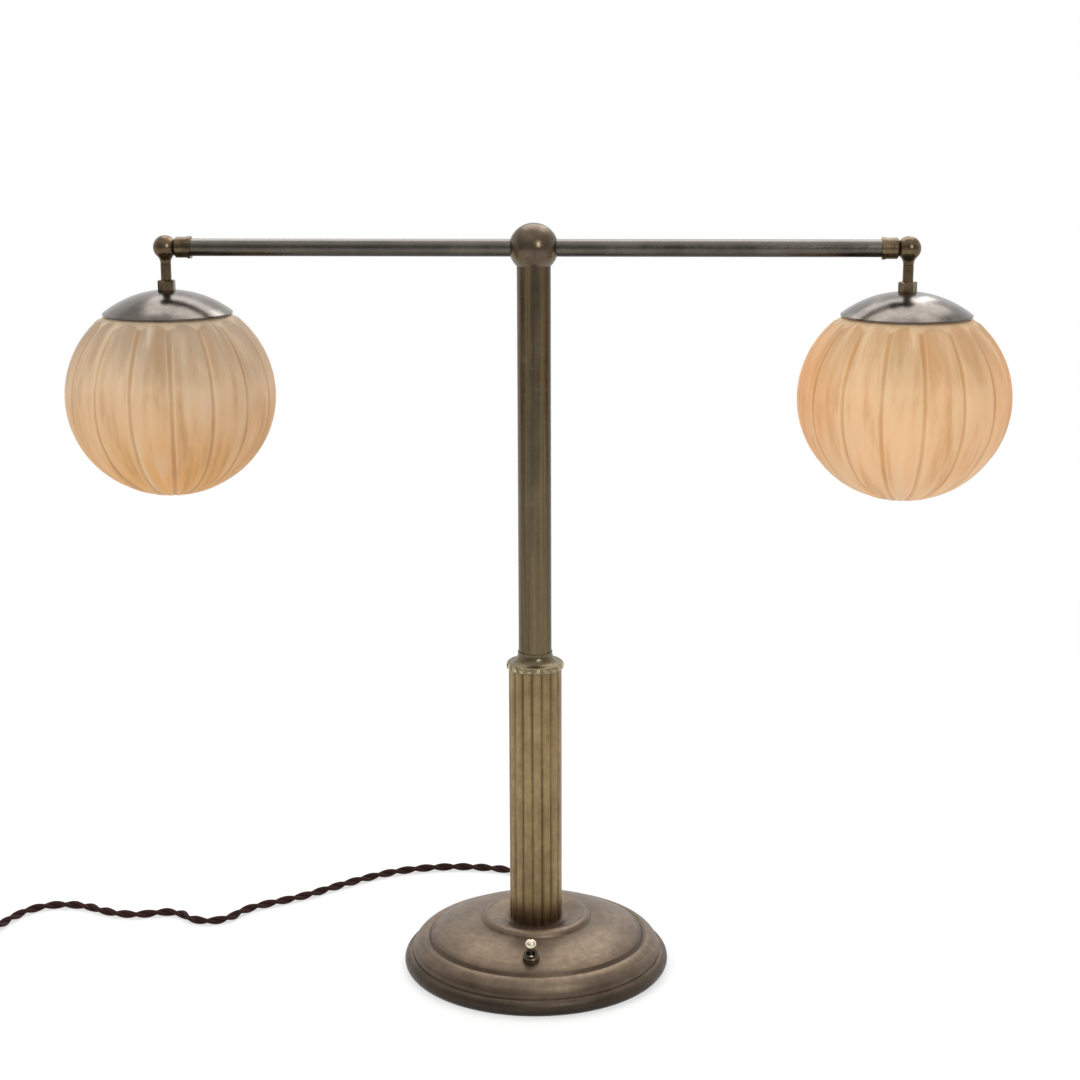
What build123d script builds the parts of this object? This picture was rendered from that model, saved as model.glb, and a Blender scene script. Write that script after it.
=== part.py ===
"""A two-armed desk lamp: domed round base, reeded column, plain post, ball, level arms, swivelling globes.

Millimetres. +Z is up, X runs along the arms and the switch faces -Y. The origin is the centre of the
base's underside, which is the surface that the lamp stands on.
"""

import os
from math import asin, cos, degrees, hypot, pi, radians, sin, sqrt, tan

from build123d import *

# Driving dimensions of the whole lamp
arm_height = 537.0
arm_reach = 261.0
base_radius = 98.7
base_height = 40.9
column_radius = 19.4
column_top = 231.3
post_radius = 12.0
ball_radius = 17.5
arm_radius = 6.2
elbow_radius = 8.5
globe_radius = 75.0
globe_half_height = 72.5
globe_drop = 105.1
cap_radius = 46.0
cap_apex_drop = 29.9
cord_radius = 3.2

# Clearances and the overrun that every cut shares
close_gap = 0.1
rest_gap = 0.3
running_gap = 0.05
overrun = 5.0

# Base shell, turned up from sheet, with a flat lip turned in underneath
sheet_wall = 1.4
lip_inset = 9.7
seat_height = 38.2
seat_radius = 23.5
# Each row is a share of the base's radius and a share of its height
rim_foot_share = (0.948, 0.0)
rim_foot_bulge_share = (0.987, 0.058)
rim_side_share = (1.0, 0.14)
rim_shoulder_bulge_share = (0.993, 0.228)
rim_shoulder_share = (0.966, 0.3)
rim_crease_share = (0.942, 0.3)
ogee_bulge_share = (0.915, 0.475)
ogee_top_share = (0.84, 0.6)
groove_share = (0.8136, 0.578)
dome_foot_share = (0.795, 0.637)
dome_bulge_share = (0.62, 0.832)
dome_top_share = (0.4185, 0.904)
boss_bulge_share = (0.391, 0.98)
boss_crown_share = (0.3495, 1.0)

# Weight, plate and pad inside and under the base
plate_thickness = 2.0
plate_inset = 6.2
weight_inset = 24.7
weight_hub_radius = 20.0
weight_foot = 12.0
weight_thickness = 8.0
weight_recess_radius = 12.5
weight_recess_depth = 6.5
weight_notch_width = 24.0
weight_notch_depth = 30.0
weight_boss_radius = 6.0
weight_boss_circle = 50.0
weight_boss_count = 3
plate_screw_radius = 2.0
plate_screw_length = 12.0
screw_head_radius = 3.8
screw_head_depth = 1.8
lock_washer_radius = 11.0
lock_washer_thickness = 1.5
lock_nut_width = 17.0
lock_nut_height = 4.5

# Tie tube that draws base, column and collar together
tie_radius = 5.0
tie_bore_radius = 3.6
tie_tail = 0.5
tie_reach_into_post = 20.0

# Reeded column and the rings that centre the tie tube in it
column_bore_radius = 16.2
reed_count = 16
reed_radius = 4.8
reed_turn = 7.0
centring_ring_thickness = 4.0
centring_ring_inset = 22.0

# Collar on the column's head
collar_ring_radius = 21.1
collar_ring_half_height = 2.6
collar_skirt_radius = 19.9
collar_throat_height = 12.8
collar_flare_start_radius = 16.8
collar_spigot_depth = 8.0
flare_bulge_share = (0.3, 0.42)
collar_ledge = 4.0
bead_count = 20
bead_groove_radius = 1.9
bead_groove_depth = 1.1
bead_tilt = 25.0

# Post, its two threaded bushes and the ball on top
post_wall = 1.3
post_foot_bush_length = 16.0
post_head_bush_length = 14.0
ball_cavity_radius = 11.0
ball_nipple_length = 14.0
ball_nipple_rise = 2.6
arm_nipple_radius = 4.0
arm_nipple_bore_radius = 2.8
arm_nipple_length = 16.0

# Arms, their end ferrules and the swivelling elbows
arm_bore_radius = 4.1
arm_end_inset = 11.0
ferrule_radius = 7.4
ferrule_ring_radius = 7.9
ferrule_ring_width = 2.4
ferrule_start_inset = 18.7
spigot_shoulder_radius = 5.0
ferrule_chamfer = 1.0
spigot_length = 16.0
spigot_bore_radius = 2.5
spigot_groove_depth = 0.8
spigot_groove_width = 3.4
spigot_groove_inset = 12.5
grub_screw_radius = 1.5

# Neck, coupling nut and lock nut that hang each cap from its elbow
neck_flare_radius = 5.6
neck_radius = 3.75
neck_flare_height = 5.6
neck_bulge_share = (0.25, 0.62)
neck_bottom_drop = 42.0
coupling_width = 11.4
coupling_height = 7.2
coupling_chamfer = 0.7
cap_flat_radius = 7.0
cap_wall = 0.9
cap_rise = 17.0
cap_lip_height = 1.0
cap_bulge_radius = 28.0
lock_ring_radius = 5.8
lock_ring_height = 3.0

# Globe and the springs that hold it up against its cap
globe_wall = 2.4
globe_mouth_radius = 34.0
rib_count = 16
rib_groove_width = 1.2
rib_groove_depth = 0.7
left_rib_turn = 12.9
right_rib_turn = 4.45
spring_thickness = 0.6
spring_width = 6.0
spring_hub_radius = 6.2
spring_root_radius = 4.6
spring_count = 3
spring_shoulder_reach = 30.0
spring_shoulder_drop = 38.4
spring_throat_reach = 32.4
spring_throat_drop = 42.6
spring_hook_reach = 36.4
spring_hook_drop = 45.2
spring_tail_reach = 32.5
spring_tail_drop = 54.0

# Lampholder and bulb
holder_radius = 13.0
holder_wall = 1.0
holder_boss_radius = 7.0
holder_boss_height = 8.0
holder_length = 32.0
insert_depth = 22.0
insert_socket_depth = 18.5
socket_sleeve_radius = 7.6
socket_sleeve_wall = 0.4
bulb_cap_radius = 7.0
bulb_cap_length = 20.0
bulb_radius = 22.5
bulb_drop = 96.0
bulb_neck_radius = 6.4
bulb_wall = 1.0

# Switch, square to the dome in front of the column
switch_reach_share = 0.68
switch_body_radius = 8.5
switch_body_length = 18.0
switch_body_inset = 2.5
bushing_radius = 4.8
bushing_bore_radius = 3.3
bushing_height = 5.9
bushing_bore_depth = 7.5
ring_nut_radius = 6.2
ring_nut_height = 5.2
ring_nut_chamfer = 0.8
lever_pivot_radius = 2.9
lever_pivot_height = 2.2
lever_stem_radius = 2.0
lever_tip_radius = 4.2
lever_length = 10.5
lever_cone_start = 4.5
lever_rest_tilt = 12.0
lever_taper_share = 0.94

# Cord entry: bush in the rear of the rim, clamp and terminal block inside
entry_height = 7.5
bush_body_radius = 4.6
bush_flange_radius = 6.2
bush_flange_thickness = 1.6
bush_tail_length = 22.0
bush_tail_radius = 4.2
bush_inner_length = 6.0
terminal_width = 20.0
terminal_depth = 12.0
terminal_height = 8.4
terminal_inset = 58.7
clamp_width = 18.0
clamp_depth = 8.0
clamp_height = 8.4
clamp_inset = 36.7
flex_radius = 1.6
flex_spacing = 3.5
flex_bend_radius = 6.0
elbow_flex_bend_radius = 3.0
ball_flex_bend_radius = 8.0
wire_hole_radius = 1.9
lead_radius = 2.9
switch_wire_radius = 1.2
switch_wire_height = 6.0
switch_wire_route = [(8.0, 24.0), (15.5, 2.0), (15.0, -24.0), (3.0, -50.0)]
switch_wire_start = 8.0
switch_wire_tail = 5.0

# Cord: the lying stretch, the coil of the rest, the tie and the plug
cord_route = [
    (0.0, 136.0, 7.5),
    (-5.0, 163.0, 3.25),
    (-30.0, 178.0, 3.25),
    (-62.0, 184.0, 3.25),
    (-93.0, 182.0, 3.25),
    (-122.0, 173.0, 3.25),
    (-147.0, 157.0, 3.25),
    (-171.0, 136.0, 3.25),
    (-196.0, 112.0, 3.25),
    (-222.0, 96.0, 3.25),
    (-237.8, 83.9, 3.25),
    (-246.4, 65.3, 3.25),
    (-260.2, 58.3, 3.25),
    (-275.5, 61.2, 3.25),
    (-286.2, 73.4, 3.25),
    (-300.4, 76.7, 3.25),
    (-321.0, 68.1, 3.25),
    (-345.0, 72.5, 3.25),
    (-367.0, 86.0, 3.25),
    (-390.0, 88.0, 3.25),
    (-409.0, 78.0, 3.25),
    (-420.0, 58.0, 3.25),
    (-426.5, 36.0, 3.25),
]
cord_route_tail = 18.0
tie_band_thickness = 0.8
tie_band_width = 6.0
tie_band_angle = 250.0
coil_centre = (-478.0, -2.0)
coil_outer_radius = 42.3
coil_pitch = 7.0
coil_layer_pitch = 7.0
coil_half_turns = 5
coil_heading = 255.0
coil_end_run = 32.0
coil_samples = 900
plug_width = 36.0
plug_length = 34.0
plug_edge_fillet = 4.0
plug_tail_radius = 5.0
plug_tail_length = 12.0
pin_radius = 2.4
pin_length = 19.0
pin_spacing = 19.0

os.makedirs("parts", exist_ok=True)
written = []


def write(part, label):
    """Labels one finished piece and writes its file."""
    part.label = label
    export_step(part, f"parts/{label}.step")
    written.append(label)


def upright_axis(x=0.0):
    """Upright axis through a place on the arms' line."""
    return Axis((x, 0, 0), (0, 0, 1))


def upright_plane(x=0.0):
    """Plane for outlines of (radius, height) about that axis."""
    return Plane(origin=(x, 0, 0), x_dir=(1, 0, 0), z_dir=(0, -1, 0))


def turned(outline, x=0.0, mode=Mode.ADD):
    """Turns a closed outline of (radius, height) points about the upright axis at x."""
    with BuildSketch(upright_plane(x)) as section:
        with BuildLine():
            Polyline(*outline, close=True)
        make_face()
    revolve(section.sketch, axis=upright_axis(x), mode=mode)


def turned_along_arm(outline, side, mode=Mode.ADD):
    """Turns a closed outline of (reach, radius) points about the arms' axis, on one side."""
    with BuildSketch(Plane.XZ) as section:
        with BuildLine():
            Polyline(*[(side * reach, arm_height + radius) for reach, radius in outline], close=True)
        make_face()
    revolve(section.sketch, axis=Axis((0, 0, arm_height), (1, 0, 0)), mode=mode)


def tube_outline(inner, outer, low, high):
    """Outline of a plain tube or ring."""
    return [(inner, low), (outer, low), (outer, high), (inner, high)]


def tube_outline_along(start, end, inner, outer):
    """The same outline for a tube that lies along an arm."""
    return [(start, inner), (end, inner), (end, outer), (start, outer)]


def base_point(share):
    """A point of the base's outline from its shares."""
    return (share[0] * base_radius, share[1] * base_height)


def inside(share):
    """The matching point of the hollow, one wall in and one wall down."""
    return (share[0] * base_radius - sheet_wall, share[1] * base_height - sheet_wall)


def circle_through(first, middle, last):
    """Centre and radius of the circle through three points of an outline."""
    ax, ay = first
    bx, by = middle
    cx, cy = last
    twice_area = 2 * (ax * (by - cy) + bx * (cy - ay) + cx * (ay - by))
    a2, b2, c2 = ax**2 + ay**2, bx**2 + by**2, cx**2 + cy**2
    centre_x = (a2 * (by - cy) + b2 * (cy - ay) + c2 * (ay - by)) / twice_area
    centre_y = (a2 * (cx - bx) + b2 * (ax - cx) + c2 * (bx - ax)) / twice_area
    return (centre_x, centre_y), hypot(ax - centre_x, ay - centre_y)


# The switch stands square to the dome, so its plane follows from the dome's arc
dome_centre, dome_curve = circle_through(
    base_point(dome_foot_share), base_point(dome_bulge_share), base_point(dome_top_share)
)
switch_reach = switch_reach_share * base_radius
switch_tilt = degrees(asin((switch_reach - dome_centre[0]) / dome_curve))
switch_seat = dome_centre[1] + dome_curve * cos(radians(switch_tilt))
switch_normal = Vector(0, -sin(radians(switch_tilt)), cos(radians(switch_tilt)))
switch_plane = Plane(origin=(0, -switch_reach, switch_seat), x_dir=(1, 0, 0), z_dir=switch_normal)

# Base shell
lip_inner_radius = base_radius - lip_inset
with BuildPart() as base_shell:
    with BuildSketch(Plane.XZ):
        with BuildLine():
            Line((lip_inner_radius, 0), base_point(rim_foot_share))
            ThreePointArc(
                base_point(rim_foot_share), base_point(rim_foot_bulge_share), base_point(rim_side_share)
            )
            ThreePointArc(
                base_point(rim_side_share),
                base_point(rim_shoulder_bulge_share),
                base_point(rim_shoulder_share),
            )
            Line(base_point(rim_shoulder_share), base_point(rim_crease_share))
            ThreePointArc(
                base_point(rim_crease_share), base_point(ogee_bulge_share), base_point(ogee_top_share)
            )
            Line(base_point(ogee_top_share), base_point(groove_share))
            Line(base_point(groove_share), base_point(dome_foot_share))
            ThreePointArc(
                base_point(dome_foot_share), base_point(dome_bulge_share), base_point(dome_top_share)
            )
            ThreePointArc(
                base_point(dome_top_share), base_point(boss_bulge_share), base_point(boss_crown_share)
            )
            Polyline(
                base_point(boss_crown_share),
                (seat_radius, seat_height),
                (tie_radius + close_gap, seat_height),
                (tie_radius + close_gap, seat_height - sheet_wall),
                (seat_radius, seat_height - sheet_wall),
                inside(dome_top_share),
            )
            ThreePointArc(inside(dome_top_share), inside(dome_bulge_share), inside(dome_foot_share))
            Polyline(
                inside(dome_foot_share),
                inside(groove_share),
                inside(rim_crease_share),
                inside(rim_shoulder_share),
                inside(rim_side_share),
                (rim_foot_share[0] * base_radius, sheet_wall),
                (lip_inner_radius, sheet_wall),
                (lip_inner_radius, 0),
            )
        make_face()
    revolve(axis=Axis.Z)
    with BuildSketch(Plane.XZ):
        with Locations((0, entry_height)):
            Circle(bush_body_radius + close_gap)
    extrude(amount=-(base_radius + overrun), mode=Mode.SUBTRACT)
    with BuildSketch(switch_plane.offset(-switch_body_inset - sheet_wall)):
        Circle(bushing_radius + close_gap)
    extrude(amount=switch_body_inset + sheet_wall + overrun, mode=Mode.SUBTRACT)
write(base_shell.part, "base_shell")

# Cast-iron weight: a disc on a hub that reaches up to the shell's seat
weight_radius = base_radius - weight_inset
weight_top = weight_foot + weight_thickness
plate_top = sheet_wall + plate_thickness
with BuildPart() as base_weight:
    turned(
        [
            (tie_radius + close_gap, weight_foot + weight_recess_depth),
            (weight_recess_radius, weight_foot + weight_recess_depth),
            (weight_recess_radius, weight_foot),
            (weight_radius, weight_foot),
            (weight_radius, weight_top),
            (weight_hub_radius, weight_top),
            (weight_hub_radius, seat_height - sheet_wall),
            (tie_radius + close_gap, seat_height - sheet_wall),
        ]
    )
    with BuildSketch(Plane.XY.offset(plate_top)):
        with PolarLocations(weight_boss_circle, weight_boss_count):
            Circle(weight_boss_radius)
    extrude(amount=weight_foot - plate_top)
    with BuildSketch(Plane.XY.offset(plate_top)):
        with PolarLocations(weight_boss_circle, weight_boss_count):
            Circle(plate_screw_radius + close_gap)
    extrude(amount=weight_top, mode=Mode.SUBTRACT)
    with BuildSketch(Plane.XY.offset(weight_foot - overrun)):
        with Locations((0, weight_notch_depth / 2 - weight_radius)):
            Rectangle(weight_notch_width, weight_notch_depth)
    extrude(amount=weight_thickness + 2 * overrun, mode=Mode.SUBTRACT)
write(base_weight.part, "base_weight")

# Steel plate that closes the base, and the baize pad glued under it
plate_radius = base_radius - plate_inset
with BuildPart() as base_plate:
    with BuildSketch(Plane.XY.offset(sheet_wall)):
        Circle(plate_radius)
    extrude(amount=plate_thickness)
    with Locations(Plane.XY.offset(sheet_wall)):
        with PolarLocations(weight_boss_circle, weight_boss_count):
            Cone(
                screw_head_radius + close_gap,
                plate_screw_radius + close_gap,
                screw_head_depth,
                align=(Align.CENTER, Align.CENTER, Align.MIN),
                mode=Mode.SUBTRACT,
            )
            Cylinder(
                plate_screw_radius + close_gap,
                plate_thickness + overrun,
                align=(Align.CENTER, Align.CENTER, Align.MIN),
                mode=Mode.SUBTRACT,
            )
write(base_plate.part, "base_plate")

with BuildPart() as baize_pad:
    with BuildSketch():
        Circle(lip_inner_radius - rest_gap)
    extrude(amount=sheet_wall)
write(baize_pad.part, "baize_pad")

with BuildPart() as plate_screws:
    with Locations(Plane.XY.offset(sheet_wall)):
        with PolarLocations(weight_boss_circle, weight_boss_count):
            Cone(
                screw_head_radius,
                plate_screw_radius,
                screw_head_depth,
                align=(Align.CENTER, Align.CENTER, Align.MIN),
            )
            Cylinder(plate_screw_radius, plate_screw_length, align=(Align.CENTER, Align.CENTER, Align.MIN))
write(plate_screws.part, "plate_screws")

# Tie tube with its washer and nut in the weight's recess
tie_bottom = weight_foot + tie_tail
recess_top = weight_foot + weight_recess_depth
post_foot = column_top + collar_ledge
tie_top = post_foot + tie_reach_into_post
with BuildPart() as tie_tube:
    turned(tube_outline(tie_bore_radius, tie_radius, tie_bottom, tie_top))
write(tie_tube.part, "tie_tube")

with BuildPart() as lock_washer:
    washer_foot = recess_top - lock_washer_thickness
    turned(tube_outline(tie_radius + close_gap, lock_washer_radius, washer_foot, recess_top))
write(lock_washer.part, "lock_washer")

with BuildPart() as lock_nut:
    with BuildSketch(Plane.XY.offset(recess_top - lock_washer_thickness - lock_nut_height)):
        RegularPolygon(lock_nut_width / 2, 6, major_radius=False)
        Circle(tie_radius + close_gap, mode=Mode.SUBTRACT)
    extrude(amount=lock_nut_height)
write(lock_nut.part, "lock_nut")

# Column with its reeds, and the two rings that centre the tie tube in it
with BuildPart() as reeded_column:
    with BuildSketch(Plane.XY.offset(seat_height)):
        Circle(column_radius - reed_radius)
        with PolarLocations(column_radius - reed_radius, reed_count, start_angle=reed_turn):
            Circle(reed_radius)
        Circle(column_bore_radius, mode=Mode.SUBTRACT)
    extrude(amount=column_top - seat_height)
write(reeded_column.part, "reeded_column")

ring_low = seat_height + centring_ring_inset
ring_high = column_top - centring_ring_inset - centring_ring_thickness
with BuildPart() as centring_rings:
    for low in (ring_low, ring_high):
        high = low + centring_ring_thickness
        turned(tube_outline(tie_radius + close_gap, column_bore_radius - close_gap, low, high))
write(centring_rings.part, "centring_rings")

# Collar: a spigot in the column, a corded ring and a hollow flare up to the post
ring_centre = column_top + collar_ring_half_height
ring_head = column_top + 2 * collar_ring_half_height
with BuildPart() as collar:
    with BuildSketch(Plane.XZ):
        with BuildLine():
            Polyline(
                (tie_radius + close_gap, post_foot),
                (tie_radius + close_gap, column_top - collar_spigot_depth),
                (column_bore_radius - close_gap, column_top - collar_spigot_depth),
                (column_bore_radius - close_gap, column_top),
                (collar_skirt_radius, column_top),
            )
            ThreePointArc(
                (collar_skirt_radius, column_top),
                (collar_ring_radius, ring_centre),
                (collar_flare_start_radius, ring_head),
            )
            ThreePointArc(
                (collar_flare_start_radius, ring_head),
                (
                    post_radius + (collar_flare_start_radius - post_radius) * flare_bulge_share[0],
                    ring_head + (collar_throat_height + column_top - ring_head) * flare_bulge_share[1],
                ),
                (post_radius + sheet_wall / 2, column_top + collar_throat_height),
            )
            Polyline(
                (post_radius + sheet_wall / 2, column_top + collar_throat_height),
                (post_radius + close_gap, column_top + collar_throat_height),
                (post_radius + close_gap, post_foot),
                (tie_radius + close_gap, post_foot),
            )
        make_face()
    revolve(axis=Axis.Z)
    with Locations(Plane.XY.offset(ring_centre)):
        with PolarLocations(collar_ring_radius + bead_groove_radius - bead_groove_depth, bead_count):
            Cylinder(
                bead_groove_radius,
                4 * collar_ring_half_height,
                rotation=(bead_tilt, 0, 0),
                mode=Mode.SUBTRACT,
            )
write(collar.part, "collar")

# Post with a threaded bush at each end
post_bore_radius = post_radius - post_wall
post_top = arm_height - sqrt(ball_radius**2 - (post_radius + rest_gap) ** 2)
with BuildPart() as post:
    turned(tube_outline(post_bore_radius, post_radius, post_foot, post_top))
write(post.part, "post")

with BuildPart() as post_bushes:
    head_bush_low = post_top - post_head_bush_length
    for low, length in ((post_foot, post_foot_bush_length), (head_bush_low, post_head_bush_length)):
        turned(tube_outline(tie_radius + close_gap, post_bore_radius - close_gap, low, low + length))
write(post_bushes.part, "post_bushes")

# Ball, hollow for the wires, with a flat for the post and one for each arm
arm_seat = sqrt(ball_radius**2 - (arm_radius + rest_gap) ** 2)
with BuildPart() as top_ball:
    with Locations((0, 0, arm_height)):
        Sphere(ball_radius)
        Sphere(ball_cavity_radius, mode=Mode.SUBTRACT)
    with BuildSketch(Plane.XY.offset(post_top)):
        Circle(ball_radius)
    extrude(amount=-ball_radius, mode=Mode.SUBTRACT)
    for side in (-1, 1):
        with BuildSketch(Plane.YZ.offset(side * arm_seat)):
            with Locations((0, arm_height)):
                Circle(ball_radius)
        extrude(amount=side * ball_radius, mode=Mode.SUBTRACT)
    with BuildSketch(Plane.XY.offset(post_top - overrun)):
        Circle(tie_radius + close_gap)
    extrude(amount=ball_radius, mode=Mode.SUBTRACT)
    with BuildSketch(Plane.YZ):
        with Locations((0, arm_height)):
            Circle(arm_nipple_radius + close_gap)
    extrude(amount=ball_radius + overrun, both=True, mode=Mode.SUBTRACT)
write(top_ball.part, "top_ball")

ball_nipple_top = post_top + ball_nipple_rise
with BuildPart() as ball_nipple:
    turned(tube_outline(tie_bore_radius, tie_radius, ball_nipple_top - ball_nipple_length, ball_nipple_top))
write(ball_nipple.part, "ball_nipple")

with BuildPart() as arm_nipples:
    for side in (-1, 1):
        nipple_root = arm_seat - ball_nipple_rise
        nipple_end = nipple_root + arm_nipple_length
        turned_along_arm(
            tube_outline_along(nipple_root, nipple_end, arm_nipple_bore_radius, arm_nipple_radius), side
        )
write(arm_nipples.part, "arm_nipples")

# Arms: the places of their ends, ferrules and grub screws all follow the arms' reach
arm_end_reach = arm_reach - arm_end_inset
ferrule_start_reach = arm_reach - ferrule_start_inset
spigot_groove_reach = arm_reach - spigot_groove_inset


def arm(side):
    """One arm tube, drilled at the back for its grub screw."""
    with BuildPart() as tube:
        turned_along_arm(tube_outline_along(arm_seat, arm_end_reach, arm_bore_radius, arm_radius), side)
        drill_for_grub_screw(side)
    return tube.part


def drill_for_grub_screw(side):
    """Cuts the grub screw's hole through the back of whatever is being made."""
    with BuildSketch(Plane.XZ) as hole:
        with Locations((side * spigot_groove_reach, arm_height)):
            Circle(grub_screw_radius + close_gap)
    extrude(hole.sketch, amount=-(ferrule_radius + overrun), mode=Mode.SUBTRACT)


elbow_flat_reach = arm_reach - sqrt(elbow_radius**2 - spigot_shoulder_radius**2)
ferrule_end_reach = elbow_flat_reach - rest_gap


def ferrule(side):
    """Turned sleeve on the end of an arm, with a ring at its inner end."""
    socket = arm_radius + close_gap
    with BuildPart() as sleeve:
        turned_along_arm(
            [
                (ferrule_start_reach, socket),
                (ferrule_start_reach, ferrule_ring_radius),
                (ferrule_start_reach + ferrule_ring_width, ferrule_ring_radius),
                (ferrule_start_reach + ferrule_ring_width, ferrule_radius),
                (ferrule_end_reach - ferrule_chamfer, ferrule_radius),
                (ferrule_end_reach, ferrule_radius - ferrule_chamfer),
                (ferrule_end_reach, arm_bore_radius),
                (arm_end_reach, arm_bore_radius),
                (arm_end_reach, socket),
            ],
            side,
        )
        drill_for_grub_screw(side)
    return sleeve.part


neck_seat = arm_height - sqrt(elbow_radius**2 - neck_flare_radius**2)
spigot_radius = arm_bore_radius - running_gap


def elbow(side):
    """Elbow ball with the grooved spigot that turns in the arm, bored for the wires."""
    x = side * arm_reach
    groove_floor = spigot_radius - spigot_groove_depth
    groove_start = spigot_groove_reach - spigot_groove_width / 2
    with BuildPart() as ball:
        with Locations((x, 0, arm_height)):
            Sphere(elbow_radius)
        with BuildSketch(Plane.YZ.offset(side * elbow_flat_reach)):
            with Locations((0, arm_height)):
                Circle(elbow_radius)
        extrude(amount=-side * elbow_radius, mode=Mode.SUBTRACT)
        with BuildSketch(Plane.XY.offset(neck_seat)):
            with Locations((x, 0)):
                Circle(elbow_radius)
        extrude(amount=-elbow_radius, mode=Mode.SUBTRACT)
        turned_along_arm(
            [
                (elbow_flat_reach - spigot_length, 0),
                (elbow_flat_reach - spigot_length, spigot_radius),
                (groove_start, spigot_radius),
                (groove_start, groove_floor),
                (groove_start + spigot_groove_width, groove_floor),
                (groove_start + spigot_groove_width, spigot_radius),
                (elbow_flat_reach, spigot_radius),
                (arm_reach, spigot_radius),
                (arm_reach, 0),
            ],
            side,
        )
        turned_along_arm(
            tube_outline_along(elbow_flat_reach - spigot_length - overrun, arm_reach, 0, spigot_bore_radius),
            side,
            mode=Mode.SUBTRACT,
        )
        turned(tube_outline(0, spigot_bore_radius, neck_seat - overrun, arm_height), x, mode=Mode.SUBTRACT)
        with Locations((x, 0, arm_height)):
            Sphere(spigot_bore_radius, mode=Mode.SUBTRACT)
    return ball.part


# The screws whose tips ride in the spigots' grooves, so that the elbows can only turn
screw_tip = spigot_radius - spigot_groove_depth + rest_gap
with BuildPart() as grub_screws:
    with BuildSketch(Plane.XZ.offset(-screw_tip)):
        with Locations((-spigot_groove_reach, arm_height), (spigot_groove_reach, arm_height)):
            Circle(grub_screw_radius)
    extrude(amount=-(ferrule_radius - screw_tip))
write(grub_screws.part, "grub_screws")


cap_apex = arm_height - cap_apex_drop
cap_curve = (cap_radius**2 + (cap_rise - cap_lip_height) ** 2) / (2 * (cap_rise - cap_lip_height))
cap_rim = cap_apex - cap_rise


def cap_outside(radius):
    """Height of the cap's outside at a radius."""
    return cap_apex - cap_curve + sqrt(cap_curve**2 - radius**2)


def cap_inside(radius):
    """Height of the cap's inside at a radius."""
    return cap_apex - cap_curve + sqrt((cap_curve - cap_wall) ** 2 - radius**2)


neck_bottom = arm_height - neck_bottom_drop


def neck(side):
    """Hollow neck, flared where it meets the elbow."""
    x = side * arm_reach
    flare_end = neck_seat - neck_flare_height
    with BuildPart() as stem:
        with BuildSketch(upright_plane(x)) as section:
            with BuildLine():
                Polyline(
                    (spigot_bore_radius, neck_seat),
                    (spigot_bore_radius, neck_bottom),
                    (neck_radius, neck_bottom),
                    (neck_radius, flare_end),
                )
                ThreePointArc(
                    (neck_radius, flare_end),
                    (
                        neck_radius + (neck_flare_radius - neck_radius) * neck_bulge_share[0],
                        flare_end + neck_flare_height * neck_bulge_share[1],
                    ),
                    (neck_flare_radius, neck_seat),
                )
                Line((neck_flare_radius, neck_seat), (spigot_bore_radius, neck_seat))
            make_face()
        revolve(section.sketch, axis=upright_axis(x))
    return stem.part


nut_seat = cap_outside(cap_flat_radius)


def coupling_nut(side):
    """Hexagonal nut on the neck, seated on the cap, a corner forward on one side only."""
    with BuildPart() as nut:
        with BuildSketch(Plane.XY.offset(nut_seat)):
            with Locations((side * arm_reach, 0)):
                RegularPolygon(coupling_width / 2, 6, major_radius=False, rotation=15 * (1 - side))
                Circle(neck_radius + close_gap, mode=Mode.SUBTRACT)
        extrude(amount=coupling_height)
        chamfer(nut.faces().sort_by(Axis.Z)[-1].outer_wire().edges(), coupling_chamfer)
    return nut.part


def cap(side):
    """Spun dome over the globe's mouth, with a short upright lip."""
    x = side * arm_reach
    hole = neck_radius + close_gap
    inner = cap_radius - cap_wall
    with BuildPart() as dome:
        with BuildSketch(upright_plane(x)) as section:
            with BuildLine():
                Line((hole, nut_seat), (cap_flat_radius, nut_seat))
                ThreePointArc(
                    (cap_flat_radius, nut_seat),
                    (cap_bulge_radius, cap_outside(cap_bulge_radius)),
                    (cap_radius, cap_outside(cap_radius)),
                )
                Polyline(
                    (cap_radius, cap_outside(cap_radius)),
                    (cap_radius, cap_rim),
                    (inner, cap_rim),
                    (inner, cap_inside(inner)),
                )
                ThreePointArc(
                    (inner, cap_inside(inner)),
                    (cap_bulge_radius, cap_inside(cap_bulge_radius)),
                    (cap_flat_radius, cap_inside(cap_flat_radius)),
                )
                Polyline(
                    (cap_flat_radius, cap_inside(cap_flat_radius)),
                    (hole, cap_inside(cap_flat_radius)),
                    (hole, nut_seat),
                )
            make_face()
        revolve(section.sketch, axis=upright_axis(x))
    return dome.part


hub_top = cap_inside(cap_flat_radius)
ring_top = hub_top - spring_thickness
holder_top = ring_top - lock_ring_height


def globe_springs(side):
    """Spider of three leaf springs that reach through the globe's mouth and hook under its shoulder."""
    x = side * arm_reach
    hub_middle = hub_top - spring_thickness / 2
    with BuildPart() as spider:
        turned(tube_outline(neck_radius + close_gap, spring_hub_radius, ring_top, hub_top), x)
        for index in range(spring_count):
            angle = radians(90 + index * 360 / spring_count)
            outward = (cos(angle), sin(angle), 0)
            across = (sin(angle), -cos(angle), 0)
            with BuildSketch(Plane(origin=(x, 0, 0), x_dir=outward, z_dir=across)) as leaf:
                with BuildLine():
                    Polyline(
                        (spring_root_radius, hub_middle),
                        (spring_hub_radius, hub_middle),
                        (spring_shoulder_reach, arm_height - spring_shoulder_drop),
                        (spring_throat_reach, arm_height - spring_throat_drop),
                        (spring_hook_reach, arm_height - spring_hook_drop),
                        (spring_tail_reach, arm_height - spring_tail_drop),
                    )
                trace(line_width=spring_thickness)
            extrude(leaf.sketch, amount=spring_width / 2, both=True)
    return spider.part


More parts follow.
